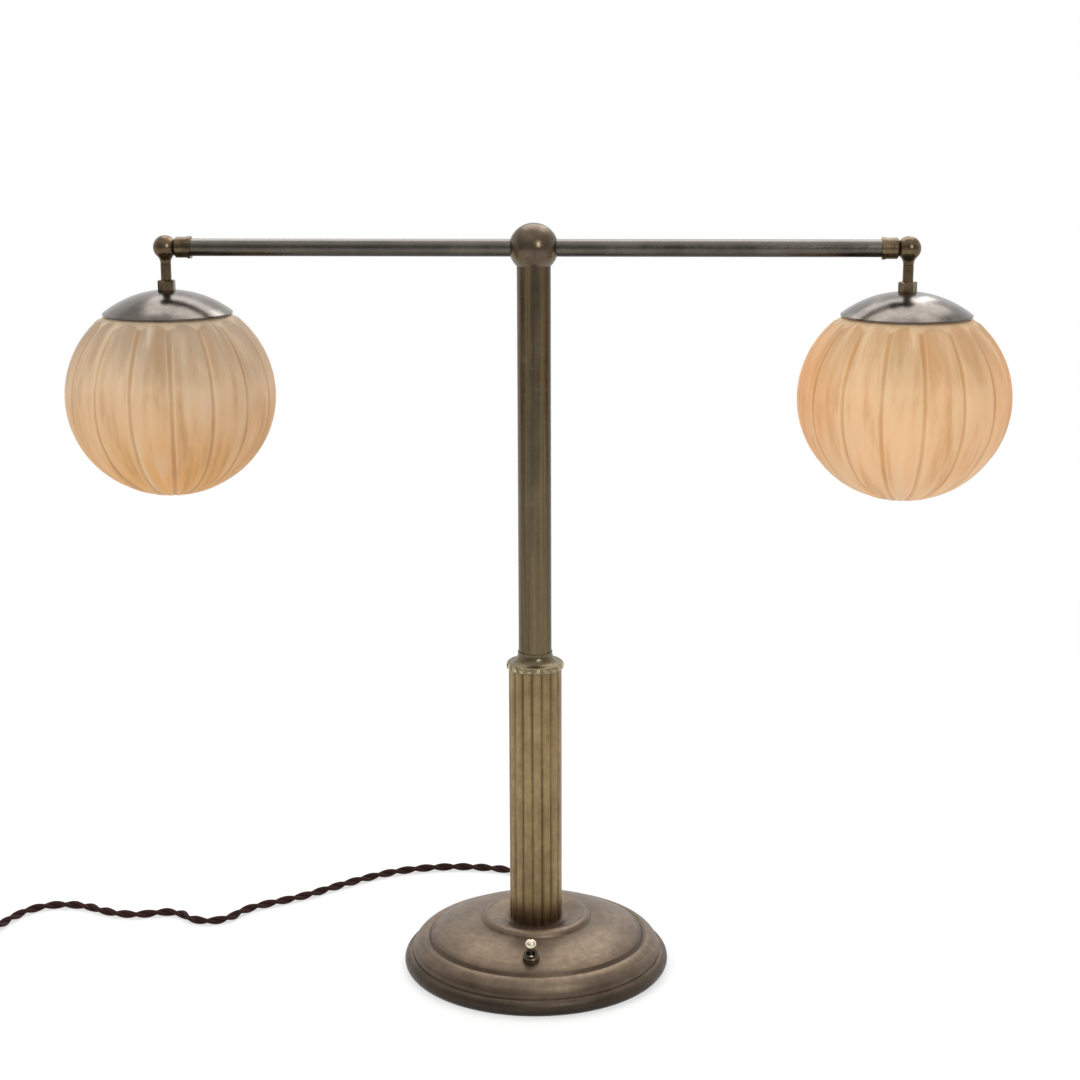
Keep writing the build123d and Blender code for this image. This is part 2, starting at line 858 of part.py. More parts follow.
def lock_ring(side):
    """Round nut that clamps the springs and the cap against the coupling nut."""
    with BuildPart() as ring:
        turned(
            tube_outline(neck_radius + close_gap, lock_ring_radius, holder_top, ring_top), side * arm_reach
        )
    return ring.part


shell_top = holder_top - holder_boss_height
insert_top = shell_top - holder_wall


def lampholder(side):
    """Lampholder shell: a threaded boss over an open skirt."""
    hole = neck_radius + close_gap
    with BuildPart() as shell:
        turned(
            [
                (hole, holder_top),
                (holder_boss_radius, holder_top),
                (holder_boss_radius, shell_top),
                (holder_radius, shell_top),
                (holder_radius, holder_top - holder_length),
                (holder_radius - holder_wall, holder_top - holder_length),
                (holder_radius - holder_wall, insert_top),
                (hole, insert_top),
            ],
            side * arm_reach,
        )
    return shell.part


insert_radius = holder_radius - holder_wall - close_gap
socket_roof = insert_top - (insert_depth - insert_socket_depth)


def lampholder_insert(side):
    """Ceramic body of the lampholder, with the socket that takes the bulb from below."""
    socket = socket_sleeve_radius + close_gap
    with BuildPart() as insert:
        turned(
            [
                (wire_hole_radius, insert_top),
                (insert_radius, insert_top),
                (insert_radius, insert_top - insert_depth),
                (socket, insert_top - insert_depth),
                (socket, socket_roof),
                (wire_hole_radius, socket_roof),
            ],
            side * arm_reach,
        )
    return insert.part


def socket_sleeve(side):
    """Thin brass sleeve that the bulb screws into."""
    inner = socket_sleeve_radius - socket_sleeve_wall
    with BuildPart() as sleeve:
        foot = insert_top - insert_depth
        turned(tube_outline(inner, socket_sleeve_radius, foot, socket_roof), side * arm_reach)
    return sleeve.part


bulb_cap_top = socket_roof - rest_gap
bulb_cap_bottom = bulb_cap_top - bulb_cap_length
bulb_centre = arm_height - bulb_drop


def bulb_cap(side):
    """Metal cap of the bulb."""
    with BuildPart() as metal:
        turned(tube_outline(0, bulb_cap_radius, bulb_cap_bottom, bulb_cap_top), side * arm_reach)
    return metal.part


def bulb_glass(side):
    """Round glass bulb with its neck at the metal cap."""
    x = side * arm_reach
    inner_neck = bulb_neck_radius - bulb_wall
    inner_radius = bulb_radius - bulb_wall
    neck_start = bulb_centre + sqrt(bulb_radius**2 - bulb_neck_radius**2)
    inner_start = bulb_centre + sqrt(inner_radius**2 - inner_neck**2)
    with BuildPart() as glass:
        with BuildSketch(upright_plane(x)) as section:
            with BuildLine():
                Line((bulb_neck_radius, bulb_cap_bottom), (bulb_neck_radius, neck_start))
                ThreePointArc(
                    (bulb_neck_radius, neck_start), (bulb_radius, bulb_centre), (0, bulb_centre - bulb_radius)
                )
                Line((0, bulb_centre - bulb_radius), (0, bulb_centre - inner_radius))
                ThreePointArc(
                    (0, bulb_centre - inner_radius), (inner_radius, bulb_centre), (inner_neck, inner_start)
                )
                Polyline(
                    (inner_neck, inner_start),
                    (inner_neck, bulb_cap_bottom),
                    (bulb_neck_radius, bulb_cap_bottom),
                )
            make_face()
        revolve(section.sketch, axis=upright_axis(x))
    return glass.part


globe_centre = arm_height - globe_drop


def globe(side):
    """Slightly flattened glass globe, open at the top, with a groove between each two ribs."""
    x = side * arm_reach
    with BuildPart() as shade:
        with BuildSketch(upright_plane(x)) as section:
            with Locations((0, globe_centre)):
                Ellipse(globe_radius, globe_half_height)
                Ellipse(globe_radius - globe_wall, globe_half_height - globe_wall, mode=Mode.SUBTRACT)
            with Locations((0, globe_centre + globe_half_height)):
                Rectangle(2 * globe_mouth_radius, globe_half_height, mode=Mode.SUBTRACT)
            with Locations((-globe_radius, globe_centre)):
                Rectangle(2 * globe_radius, 4 * globe_half_height, mode=Mode.SUBTRACT)
        revolve(section.sketch, axis=upright_axis(x))
        first_rib = right_rib_turn if side > 0 else left_rib_turn
        for index in range(rib_count // 2):
            angle = radians(first_rib + index * 360 / rib_count)
            meridian = Plane(
                origin=(x, 0, 0), x_dir=(cos(angle), sin(angle), 0), z_dir=(sin(angle), -cos(angle), 0)
            )
            with BuildSketch(meridian) as ring:
                with Locations((0, globe_centre)):
                    Ellipse(globe_radius + overrun, globe_half_height + overrun)
                    Ellipse(
                        globe_radius - rib_groove_depth,
                        globe_half_height - rib_groove_depth,
                        mode=Mode.SUBTRACT,
                    )
            extrude(ring.sketch, amount=rib_groove_width / 2, both=True, mode=Mode.SUBTRACT)
    return shade.part


def tube_on(points, radii, radius):
    """Adds a round tube on straight runs joined by arcs of the radii."""
    with BuildLine() as line:
        path = FilletPolyline(*points, radius=radii)
    with BuildSketch(Plane(origin=path @ 0, z_dir=path % 0)) as section:
        Circle(radius)
    sweep(section.sketch, path=line.line)
    return path.length


def head_flex(side):
    """The flex inside one head, from the arm's end round the elbow and down the neck."""
    x = side * arm_reach
    start = side * (arm_end_reach + ferrule_start_reach) / 2
    with BuildPart() as wire:
        tube_on(
            [(start + side * rest_gap, 0, arm_height), (x, 0, arm_height), (x, 0, insert_top + rest_gap)],
            [elbow_flex_bend_radius],
            flex_radius,
        )
    return wire.part


for side, name in ((-1, "left"), (1, "right")):
    write(arm(side), f"{name}_arm")
    write(ferrule(side), f"{name}_ferrule")
    write(elbow(side), f"{name}_elbow")
    write(neck(side), f"{name}_neck")
    write(coupling_nut(side), f"{name}_coupling_nut")
    write(cap(side), f"{name}_cap")
    write(globe_springs(side), f"{name}_globe_springs")
    write(lock_ring(side), f"{name}_lock_ring")
    write(lampholder(side), f"{name}_lampholder")
    write(lampholder_insert(side), f"{name}_lampholder_insert")
    write(socket_sleeve(side), f"{name}_socket_sleeve")
    write(bulb_cap(side), f"{name}_bulb_cap")
    write(bulb_glass(side), f"{name}_bulb_glass")
    write(globe(side), f"{name}_globe")
    write(head_flex(side), f"{name}_head_flex")

# Switch: body and threaded bushing in one, ring nut outside, lever on a ball in the bushing
with BuildPart() as switch_body:
    with BuildSketch(switch_plane.offset(-switch_body_inset - switch_body_length)):
        Circle(switch_body_radius)
    extrude(amount=switch_body_length)
    with BuildSketch(switch_plane.offset(-switch_body_inset)):
        Circle(bushing_radius)
    extrude(amount=switch_body_inset + bushing_height)
    with BuildSketch(switch_plane.offset(bushing_height - bushing_bore_depth)):
        Circle(bushing_bore_radius)
    extrude(amount=bushing_bore_depth + overrun, mode=Mode.SUBTRACT)
write(switch_body.part, "switch_body")

with BuildPart() as switch_ring_nut:
    with BuildSketch(switch_plane.offset(close_gap)):
        Circle(ring_nut_radius)
        Circle(bushing_radius + close_gap, mode=Mode.SUBTRACT)
    extrude(amount=ring_nut_height)
    rim = switch_ring_nut.edges().filter_by(GeomType.CIRCLE).sort_by(Axis.Z)[-2:].sort_by(SortBy.RADIUS)[-1]
    chamfer(rim, ring_nut_chamfer)
write(switch_ring_nut.part, "switch_ring_nut")

lever_lean = radians(switch_tilt - lever_rest_tilt)
lever_direction = Vector(0, -sin(lever_lean), cos(lever_lean))
pivot = Vector(0, -switch_reach, switch_seat) + switch_normal * lever_pivot_height
lever_plane = Plane(origin=pivot, x_dir=(1, 0, 0), z_dir=lever_direction)
with BuildPart() as switch_lever:
    with Locations(lever_plane):
        Sphere(lever_pivot_radius)
        Cylinder(lever_stem_radius, lever_length, align=(Align.CENTER, Align.CENTER, Align.MIN))
    with Locations(lever_plane.offset(lever_cone_start)):
        Cone(
            lever_stem_radius,
            lever_tip_radius * lever_taper_share,
            lever_length - lever_cone_start,
            align=(Align.CENTER, Align.CENTER, Align.MIN),
        )
    with Locations(lever_plane.offset(lever_length)):
        Sphere(lever_tip_radius)
write(switch_lever.part, "switch_lever")

# Cable bush in the rear of the rim, its outline in (distance back, height)
cord_bore_radius = cord_radius + running_gap
bush_face = base_radius + running_gap
bush_mouth = bush_face + bush_flange_thickness + bush_tail_length
bush_inner_end = bush_face - bush_inner_length
with BuildPart() as cable_bush:
    with BuildSketch(Plane.YZ):
        with BuildLine():
            Polyline(
                (bush_inner_end, entry_height + cord_bore_radius),
                (bush_inner_end, entry_height + bush_body_radius),
                (bush_face, entry_height + bush_body_radius),
                (bush_face, entry_height + bush_flange_radius),
                (bush_face + bush_flange_thickness, entry_height + bush_flange_radius),
                (bush_mouth, entry_height + bush_tail_radius),
                (bush_mouth, entry_height + cord_bore_radius),
                close=True,
            )
        make_face()
    revolve(axis=Axis((0, 0, entry_height), (0, 1, 0)))
write(cable_bush.part, "cable_bush")

# Terminal block and cord clamp on the plate
terminal_reach = base_radius - terminal_inset
clamp_reach = base_radius - clamp_inset
with BuildPart() as terminal_block:
    with Locations((0, terminal_reach, plate_top + terminal_height / 2)):
        Box(terminal_width, terminal_depth, terminal_height)
write(terminal_block.part, "terminal_block")

with BuildPart() as cord_clamp:
    with Locations((0, clamp_reach, plate_top + clamp_height / 2)):
        Box(clamp_width, clamp_depth, clamp_height)
    with BuildSketch(Plane.XZ):
        with Locations((0, entry_height)):
            Circle(lead_radius + close_gap)
    extrude(amount=-base_radius, mode=Mode.SUBTRACT)
write(cord_clamp.part, "cord_clamp")

# Wires inside the lamp
terminal_front = terminal_reach - terminal_depth / 2
terminal_rear = terminal_reach + terminal_depth / 2
with BuildPart() as stem_flexes:
    for side in (-1, 1):
        x = side * flex_spacing / 2
        tube_on(
            [
                (x, terminal_front, entry_height),
                (x, 0, entry_height),
                (x, 0, arm_height),
                (side * (arm_end_reach + ferrule_start_reach) / 2, 0, arm_height),
            ],
            [flex_bend_radius, ball_flex_bend_radius],
            flex_radius,
        )
write(stem_flexes.part, "stem_flexes")


def corner_radii(points):
    """Radius of the arc at each corner: 0.45 of the shorter run over the half turn's tangent."""
    radii = []
    for before, corner, after in zip(points, points[1:], points[2:]):
        run_in = Vector(*corner) - Vector(*before)
        run_out = Vector(*after) - Vector(*corner)
        half_turn = radians(run_in.get_angle(run_out)) / 2
        radii.append(0.45 * min(run_in.length, run_out.length) / tan(half_turn))
    return radii


switch_foot = Vector(0, -switch_reach, switch_seat) - switch_normal * (switch_body_inset + switch_body_length)
switch_route = [(switch_wire_start, terminal_front, switch_wire_height)]
switch_route += [(x, y, switch_wire_height) for x, y in switch_wire_route]
switch_route.append(tuple(switch_foot - switch_normal * switch_wire_tail))
switch_route.append(tuple(switch_foot - switch_normal * rest_gap))
with BuildPart() as base_wires:
    with BuildSketch(Plane.XZ.offset(-terminal_rear)):
        with Locations((0, entry_height)):
            Circle(lead_radius)
    extrude(amount=-(bush_inner_end - terminal_rear))
    tube_on(switch_route, corner_radii(switch_route), switch_wire_radius)
write(base_wires.part, "base_wires")

# The coil's route: half turns that draw in, a climbing half turn, and half turns that open out above
coil_lie = cord_radius + tie_band_thickness + close_gap + running_gap
coil_over = coil_lie + coil_layer_pitch


def heading_vector(heading):
    """Level unit vector along a heading in degrees."""
    return Vector(cos(radians(heading)), sin(radians(heading)), 0)


start_side = heading_vector(coil_heading + 90)
coil_start = Vector(coil_centre[0], coil_centre[1], coil_lie) + start_side * coil_outer_radius
half_turn_radii = [coil_outer_radius - index * coil_pitch / 2 for index in range(coil_half_turns)]
coil_edges = []
here = coil_start
heading = coil_heading
coil_edges.append(Edge.make_line(here - heading_vector(heading) * 2 * cord_radius, here))


def add_half_turn(here, heading, radius):
    """Adds one level half turn to the right and returns where it ends."""
    inward = heading_vector(heading - 90)
    middle = here + inward * radius + heading_vector(heading) * radius
    end = here + inward * 2 * radius
    coil_edges.append(Edge.make_three_point_arc(here, middle, end))
    return end


for radius in half_turn_radii:
    here = add_half_turn(here, heading, radius)
    heading += 180
inward = heading_vector(heading - 90)
coil_climb_radius = coil_outer_radius - coil_half_turns * coil_pitch / 2
climb_reach = sqrt(coil_climb_radius**2 + (coil_layer_pitch / 2) ** 2)
lift = Vector(0, 0, coil_layer_pitch / 2)
climb_middle = here + inward * coil_climb_radius + heading_vector(heading) * climb_reach + lift
climb_end = here + inward * 2 * coil_climb_radius + lift * 2
coil_edges.append(Edge.make_tangent_arc(here, heading_vector(heading), climb_middle))
coil_edges.append(Edge.make_tangent_arc(climb_middle, coil_edges[-1] % 1, climb_end))
here = climb_end
heading += 180
for radius in reversed(half_turn_radii):
    here = add_half_turn(here, heading, radius)
    heading += 180
coil_end = here + heading_vector(heading) * coil_end_run
coil_edges.append(Edge.make_line(here, coil_end))
coil_path = Wire(coil_edges)

coil_points = [coil_path @ (index / coil_samples) for index in range(coil_samples + 1)]
sample_step = coil_path.length / coil_samples
skip = int(4 * cord_radius / sample_step) + 1
least_gap = min(
    (coil_points[i] - coil_points[j]).length - 2 * cord_radius
    for i in range(len(coil_points))
    for j in range(i + skip, len(coil_points))
)
print("coil length", round(coil_path.length, 1), "least gap to itself", round(least_gap, 2))

with BuildPart() as cord_coil:
    with BuildSketch(Plane(origin=coil_path @ 0, z_dir=coil_path % 0)) as coil_section:
        Circle(cord_radius)
    sweep(coil_section.sketch, path=coil_path)
write(cord_coil.part, "cord_coil")

# The lying stretch, from inside the bush to the coil's straight end
coil_mouth = coil_path @ 0
tail_point = coil_mouth - heading_vector(coil_heading) * cord_route_tail
lying_route = [(0, bush_inner_end, entry_height)] + cord_route + [tuple(tail_point), tuple(coil_mouth)]
lying_radii = corner_radii(lying_route)
print("cord corner radii", [round(radius, 1) for radius in lying_radii])
with BuildPart() as cord_free:
    lying_length = tube_on(lying_route, lying_radii, cord_radius)
print("cord lying length", round(lying_length, 1), "whole length", round(lying_length + coil_path.length, 1))
cord_section = pi * cord_radius**2
lying_fill = cord_free.part.volume / (cord_section * lying_length)
coil_fill = cord_coil.part.volume / (cord_section * coil_path.length)
print("volume over section times length, lying and coiled", round(lying_fill, 5), round(coil_fill, 5))
write(cord_free.part, "cord_free")

# Band that ties the coil
band_top = coil_over + cord_radius + close_gap
band_angle = radians(tie_band_angle)
band_outward = Vector(cos(band_angle), sin(band_angle), 0)
band_across = Vector(-sin(band_angle), cos(band_angle), 0)
from_centre = [point - Vector(coil_centre[0], coil_centre[1], 0) for point in coil_points]
crossings = [
    point.dot(band_outward)
    for point in from_centre
    if point.dot(band_outward) > 0 and abs(point.dot(band_across)) < tie_band_width
]
band_inner = min(crossings) - cord_radius - tie_band_thickness
band_outer = max(crossings) + cord_radius + tie_band_thickness
band_plane = Plane(
    origin=(coil_centre[0], coil_centre[1], 0),
    x_dir=(cos(band_angle), sin(band_angle), 0),
    z_dir=(sin(band_angle), -cos(band_angle), 0),
)
with BuildPart() as cord_tie:
    with BuildSketch(band_plane):
        with Locations(((band_inner + band_outer) / 2, (band_top + tie_band_thickness) / 2)):
            RectangleRounded(
                band_outer - band_inner + 2 * tie_band_thickness,
                band_top + tie_band_thickness,
                2 * tie_band_thickness,
            )
            RectangleRounded(
                band_outer - band_inner, band_top - tie_band_thickness, tie_band_thickness, mode=Mode.SUBTRACT
            )
    extrude(amount=tie_band_width / 2, both=True)
write(cord_tie.part, "cord_tie")

# Two-pin plug at the end of the coil, lying level with the coil's upper layer
plug_plane = Plane(origin=coil_end, x_dir=heading_vector(heading - 90), z_dir=heading_vector(heading))
plug_thickness = 2 * coil_over
with BuildPart() as plug_body:
    with BuildSketch(plug_plane):
        Circle(plug_tail_radius)
    extrude(amount=plug_tail_length)
    with BuildSketch(plug_plane.offset(plug_tail_length)):
        RectangleRounded(plug_width, plug_thickness, plug_edge_fillet)
    extrude(amount=plug_length)
write(plug_body.part, "plug_body")

with BuildPart() as plug_pins:
    with BuildSketch(plug_plane.offset(plug_tail_length + plug_length)):
        with GridLocations(pin_spacing, 0, 2, 1):
            Circle(pin_radius)
    extrude(amount=pin_length)
write(plug_pins.part, "plug_pins")

print(len(written), "pieces written")
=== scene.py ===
from math import asin, cos, exp, pi, radians, sin
import bpy
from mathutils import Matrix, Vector


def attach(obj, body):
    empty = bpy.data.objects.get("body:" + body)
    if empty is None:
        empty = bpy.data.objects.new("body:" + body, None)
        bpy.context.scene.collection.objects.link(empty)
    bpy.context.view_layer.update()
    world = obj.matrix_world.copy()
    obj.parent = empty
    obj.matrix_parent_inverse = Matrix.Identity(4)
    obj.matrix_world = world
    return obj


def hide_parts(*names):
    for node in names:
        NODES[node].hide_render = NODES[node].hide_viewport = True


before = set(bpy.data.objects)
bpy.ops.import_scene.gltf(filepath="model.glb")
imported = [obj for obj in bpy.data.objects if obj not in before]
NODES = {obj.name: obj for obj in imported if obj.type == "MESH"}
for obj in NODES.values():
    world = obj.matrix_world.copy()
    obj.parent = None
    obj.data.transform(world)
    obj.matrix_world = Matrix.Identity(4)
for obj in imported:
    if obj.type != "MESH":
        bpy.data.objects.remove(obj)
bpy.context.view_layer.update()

# Sizes of the object and the floor are in millimetres, and MM takes them to the frame's metres
MM = 0.001
ARM_HEIGHT = 537.0
ARM_REACH = 261.0
BASE_RADIUS = 98.7
SEAT_RADIUS = 23.5
COLUMN_RADIUS = 19.4
COLLAR_RADIUS = 21.1
POST_RADIUS = 12.0
CORD_RADIUS = 3.2

WHITE = (1.0, 1.0, 1.0, 1.0)

# The light curve of a screen, for values from 0 to 255
CURVE_START = 10
CURVE_SLOPE = 12.92
CURVE_LIFT = 0.055
CURVE_POWER = 2.4


class Nodes:
    """Adds nodes to one tree; place is the coordinate that its patterns follow."""

    def __init__(self, tree, coordinates):
        self.tree = tree
        self.place = self.node("ShaderNodeTexCoord").outputs[coordinates]

    def node(self, kind, inputs=(), **settings):
        """Adds a node; inputs are pairs of a socket, by name or number, and a value or an output."""
        made = self.tree.nodes.new(kind)
        for key, value in settings.items():
            setattr(made, key, value)
        for socket, value in inputs:
            if isinstance(value, bpy.types.NodeSocket):
                self.tree.links.new(value, made.inputs[socket])
            else:
                made.inputs[socket].default_value = value
        return made

    def ranged(self, value, low, high, to_low=0.0, to_high=1.0):
        """The value with low to high taken to to_low to to_high, and held there beyond."""
        ends = [(1, low), (2, high), (3, to_low), (4, to_high)]
        return self.node("ShaderNodeMapRange", [(0, value)] + ends).outputs[0]

    def over(self, length, ends, to_low=0.0, to_high=1.0):
        """A length in the frame's metres, ranged between two ends in millimetres."""
        low, high = ends
        return self.ranged(length, low * MM, high * MM, to_low, to_high)

    def math(self, operation, first, second=0.0):
        return self.node("ShaderNodeMath", [(0, first), (1, second)], operation=operation).outputs[0]

    def split(self, where=None):
        """The X, Y and Z of a place."""
        return self.node("ShaderNodeSeparateXYZ", [("Vector", where or self.place)]).outputs

    def seen_directly(self):
        """1 for what the camera sees, straight or through glass."""
        rays = self.node("ShaderNodeLightPath").outputs
        return self.math("MAXIMUM", rays["Is Camera Ray"], rays["Is Transmission Ray"])


class Finish(Nodes):
    """A material that is built up step by step around one Principled shader."""

    def __init__(self, name, **sockets):
        self.material = bpy.data.materials.new(name)
        self.material.use_nodes = True
        super().__init__(self.material.node_tree, "Object")
        self.shader = self.tree.nodes["Principled BSDF"]
        self.normal = None
        for socket, value in sockets.items():
            self.shader.inputs[socket.replace("_", " ")].default_value = value

    def stretched(self, scale, rotation=(0, 0, 0)):
        """The object's coordinates, scaled and turned."""
        inputs = [("Vector", self.place), ("Scale", scale), ("Rotation", rotation)]
        return self.node("ShaderNodeMapping", inputs).outputs["Vector"]

    def noise(self, scale, detail=3.0, rough=0.5, where=None):
        inputs = [
            ("Vector", where or self.place),
            ("Scale", scale),
            ("Detail", detail),
            ("Roughness", rough),
        ]
        return self.node("ShaderNodeTexNoise", inputs).outputs["Fac"]

    def mix(self, share, first, second):
        """The first colour, with a share of the second."""
        inputs = [(0, share), (6, first), (7, second)]
        return self.node("ShaderNodeMix", inputs, data_type="RGBA").outputs[2]

    def ramp(self, value, stops):
        """A colour or grey value for each place along 0 to 1."""
        made = self.node("ShaderNodeValToRGB", [("Fac", value)])
        band = made.color_ramp
        while len(band.elements) < len(stops):
            band.elements.new(0.5)
        for element, (place, colour) in zip(band.elements, stops):
            element.position = place
            element.color = colour if isinstance(colour, tuple) else (colour, colour, colour, 1.0)
        return made.outputs["Color"]

    def radius_from(self, x=0.0):
        """Level distance from an upright line at x."""
        axes = self.split()
        across = self.math("SUBTRACT", axes["X"], x)
        squares = [self.math("MULTIPLY", way, way) for way in (across, axes["Y"])]
        return self.math("SQRT", self.math("ADD", *squares))

    def colour(self, output):
        self.tree.links.new(output, self.shader.inputs["Base Color"])

    def roughness(self, output):
        self.tree.links.new(output, self.shader.inputs["Roughness"])

    def bump(self, height, distance, strength):
        """Adds relief on top of the relief that is already there."""
        inputs = [("Height", height), ("Distance", distance), ("Strength", strength)]
        if self.normal:
            inputs.append(("Normal", self.normal))
        self.normal = self.node("ShaderNodeBump", inputs).outputs["Normal"]
        self.tree.links.new(self.normal, self.shader.inputs["Normal"])


def linear(value):
    """The share of full light that a screen gives for a value."""
    share = value / 255
    if value > CURVE_START:
        return ((share + CURVE_LIFT) / (1 + CURVE_LIFT)) ** CURVE_POWER
    return share / CURVE_SLOPE


def rgb(red, green, blue):
    """A linear colour from 0 to 255 screen values."""
    return (linear(red), linear(green), linear(blue), 1.0)


def aged_brass(name, dark, middle, light, rough, grain, relief=1.0, speckle=0.45):
    """Brass under an old brown patina: cloudy patches, fine turning lines and rubbed spots."""
    finish = Finish(name, Metallic=0.88)
    clouds = finish.noise(scale=34.0, detail=5.0, rough=0.6)
    spots = finish.noise(scale=210.0, detail=4.0, rough=0.65)
    lines = finish.noise(scale=1.0, detail=3.0, rough=0.6, where=finish.stretched(grain))
    tone = finish.ramp(clouds, [(0.3, dark), (0.52, middle), (0.74, light)])
    tone = finish.mix(finish.ranged(spots, 0.35, 0.75, 0.0, speckle), tone, dark)
    tone = finish.mix(finish.ranged(lines, 0.3, 0.7, 0.0, 0.4), tone, light)
    finish.roughness(finish.ranged(finish.math("ADD", clouds, spots), 0.7, 1.3, rough - 0.07, rough + 0.12))
    finish.bump(lines, distance=0.12 * MM * relief, strength=0.35)
    finish.bump(spots, distance=0.15 * MM * relief, strength=0.25)
    return finish, tone


def paint(name, material):
    """Gives a CAD node its material."""
    slots = NODES[name].data.materials
    for index in range(len(slots)):
        slots[index] = material
    if not len(slots):
        slots.append(material)


# Base: brass patina, with painted shade in the creases, on the rim, most of all low down, and beside the
# column.
# A crease is a radius and how dark its painted shade is there.
BASE_CREASES = [(0.0, 0.0), (75.0, 0.0), (79.5, 0.6), (82.5, 0.05), (90.0, 0.0), (92.2, 0.45), (94.5, 0.05)]
CREASE_SPAN = 100.0
RIM_HEIGHTS = (3.0, 12.5)
RIM_RADII = (BASE_RADIUS - 5.2, BASE_RADIUS - 3.2)
base, tone = aged_brass(
    "aged_brass_base",
    dark=rgb(82, 69, 58),
    middle=rgb(114, 99, 84),
    light=rgb(139, 122, 102),
    rough=0.4,
    grain=(26.0, 26.0, 900.0),
)
reach = base.over(base.radius_from(), (0.0, CREASE_SPAN))
painted_crease_shade = base.ramp(reach, [(radius / CREASE_SPAN, share) for radius, share in BASE_CREASES])
tone = base.mix(painted_crease_shade, tone, rgb(62, 48, 38))
# Painted shade on the outer rim, darkest low down
low = base.over(base.split()["Z"], RIM_HEIGHTS, 1.0, 0.5)
low = base.math("MULTIPLY", low, base.over(base.radius_from(), RIM_RADII))
tone = base.mix(low, tone, rgb(42, 36, 30))
# Painted shade on the base beside the column's foot
painted_shade_beside_column = base.over(base.radius_from(), (COLUMN_RADIUS, SEAT_RADIUS), 0.6, 0.0)
base.colour(base.mix(painted_shade_beside_column, tone, rgb(78, 58, 42)))
paint("base_shell", base.material)

# Column: golden on the reeds, with painted shade down between them, darkest at the foot
REED_HOLLOWS = (COLUMN_RADIUS - 1.2, COLUMN_RADIUS - 0.3)
FOOT_HEIGHTS = (50.0, 60.0)
FOOT_WANDER = 6.0
column, tone = aged_brass(
    "aged_brass_column",
    dark=rgb(102, 84, 58),
    middle=rgb(145, 123, 86),
    light=rgb(173, 152, 110),
    rough=0.38,
    grain=(240.0, 240.0, 9.0),
)
patches = column.noise(scale=1.0, detail=2.0, where=column.stretched((70.0, 70.0, 9.0)))
uneven = column.ranged(patches, 0.35, 0.65, 0.3, 1.0)
painted_hollow_shade = column.math("MULTIPLY", column.over(column.radius_from(), REED_HOLLOWS, 0.85, 0.0), uneven)
tone = column.mix(painted_hollow_shade, tone, rgb(74, 60, 42))
wander = column.math("MULTIPLY", column.noise(scale=60.0), FOOT_WANDER * MM)
foot = column.over(column.math("ADD", column.split()["Z"], wander), FOOT_HEIGHTS, 0.8, 0.0)
column.colour(column.mix(foot, tone, rgb(92, 71, 50)))
paint("reeded_column", column.material)

# Collar: the palest brass, with painted shade between the beads of its ring
BEAD_HOLLOWS = (COLLAR_RADIUS - 1.5, COLLAR_RADIUS - 0.4)
collar, tone = aged_brass(
    "aged_brass_collar",
    dark=rgb(112, 101, 74),
    middle=rgb(166, 151, 119),
    light=rgb(214, 203, 168),
    rough=0.28,
    grain=(60.0, 60.0, 200.0),
)
painted_hollow_shade = collar.over(collar.radius_from(), BEAD_HOLLOWS, 0.8, 0.0)
collar.colour(collar.mix(painted_hollow_shade, tone, rgb(78, 68, 48)))
paint("collar", collar.material)

# Post: rubbed paler low down, with long streaks, and painted shade along its two flanks
WORN_HEIGHTS = (250.0, 450.0)
FLANKS = (POST_RADIUS - 4.5, POST_RADIUS - 0.2)
post, tone = aged_brass(
    "aged_brass_post",
    dark=rgb(62, 55, 42),
    middle=rgb(84, 74, 57),
    light=rgb(106, 95, 74),
    rough=0.3,
    grain=(420.0, 420.0, 7.0),
)
worn = post.over(post.split()["Z"], WORN_HEIGHTS, 0.45, 0.0)
tone = post.mix(worn, tone, rgb(124, 108, 83))
streaks = post.noise(scale=1.0, rough=0.6, where=post.stretched((170.0, 170.0, 3.0), (0.0, 0.0, 0.4)))
tone = post.mix(post.ranged(streaks, 0.52, 0.66, 0.0, 0.6), tone, rgb(134, 112, 78))
tone = post.mix(post.ranged(streaks, 0.48, 0.36, 0.0, 0.6), tone, rgb(58, 49, 40))
painted_flank = post.over(post.math("ABSOLUTE", post.split()["X"]), FLANKS, 0.0, 0.6)
post.colour(post.mix(painted_flank, tone, rgb(46, 40, 34)))
paint("post", post.material)

# Arms: greyer than the post, with a painted highlight along the top and painted shade underneath
ARM_TOP_HIGHLIGHT = (ARM_HEIGHT + 1.0, ARM_HEIGHT + 5.5)
ARM_UNDERSIDE_SHADE = (ARM_HEIGHT - 2.0, ARM_HEIGHT - 5.0)
arm, tone = aged_brass(
    "aged_brass_arm",
    dark=rgb(62, 58, 51),
    middle=rgb(86, 81, 73),
    light=rgb(108, 103, 94),
    rough=0.24,
    grain=(7.0, 420.0, 420.0),
    relief=0.12,
    speckle=0.12,
)
height = arm.split()["Z"]
tone = arm.mix(arm.over(height, ARM_TOP_HIGHLIGHT, 0.0, 0.5), tone, rgb(138, 134, 126))
arm.colour(arm.mix(arm.over(height, ARM_UNDERSIDE_SHADE, 0.0, 0.7), tone, rgb(38, 32, 28)))

ball, tone = aged_brass(
    "aged_brass_ball",
    dark=rgb(56, 47, 38),
    middle=rgb(88, 76, 62),
    light=rgb(124, 109, 90),
    rough=0.24,
    grain=(90.0, 90.0, 90.0),
    relief=0.15,
)
ball.colour(tone)
paint("top_ball", ball.material)

fitting, tone = aged_brass(
    "aged_brass_fittings",
    dark=rgb(52, 42, 31),
    middle=rgb(82, 67, 49),
    light=rgb(138, 119, 92),
    rough=0.19,
    grain=(180.0, 180.0, 180.0),
    relief=0.1,
    speckle=0.3,
)
fitting.colour(tone)

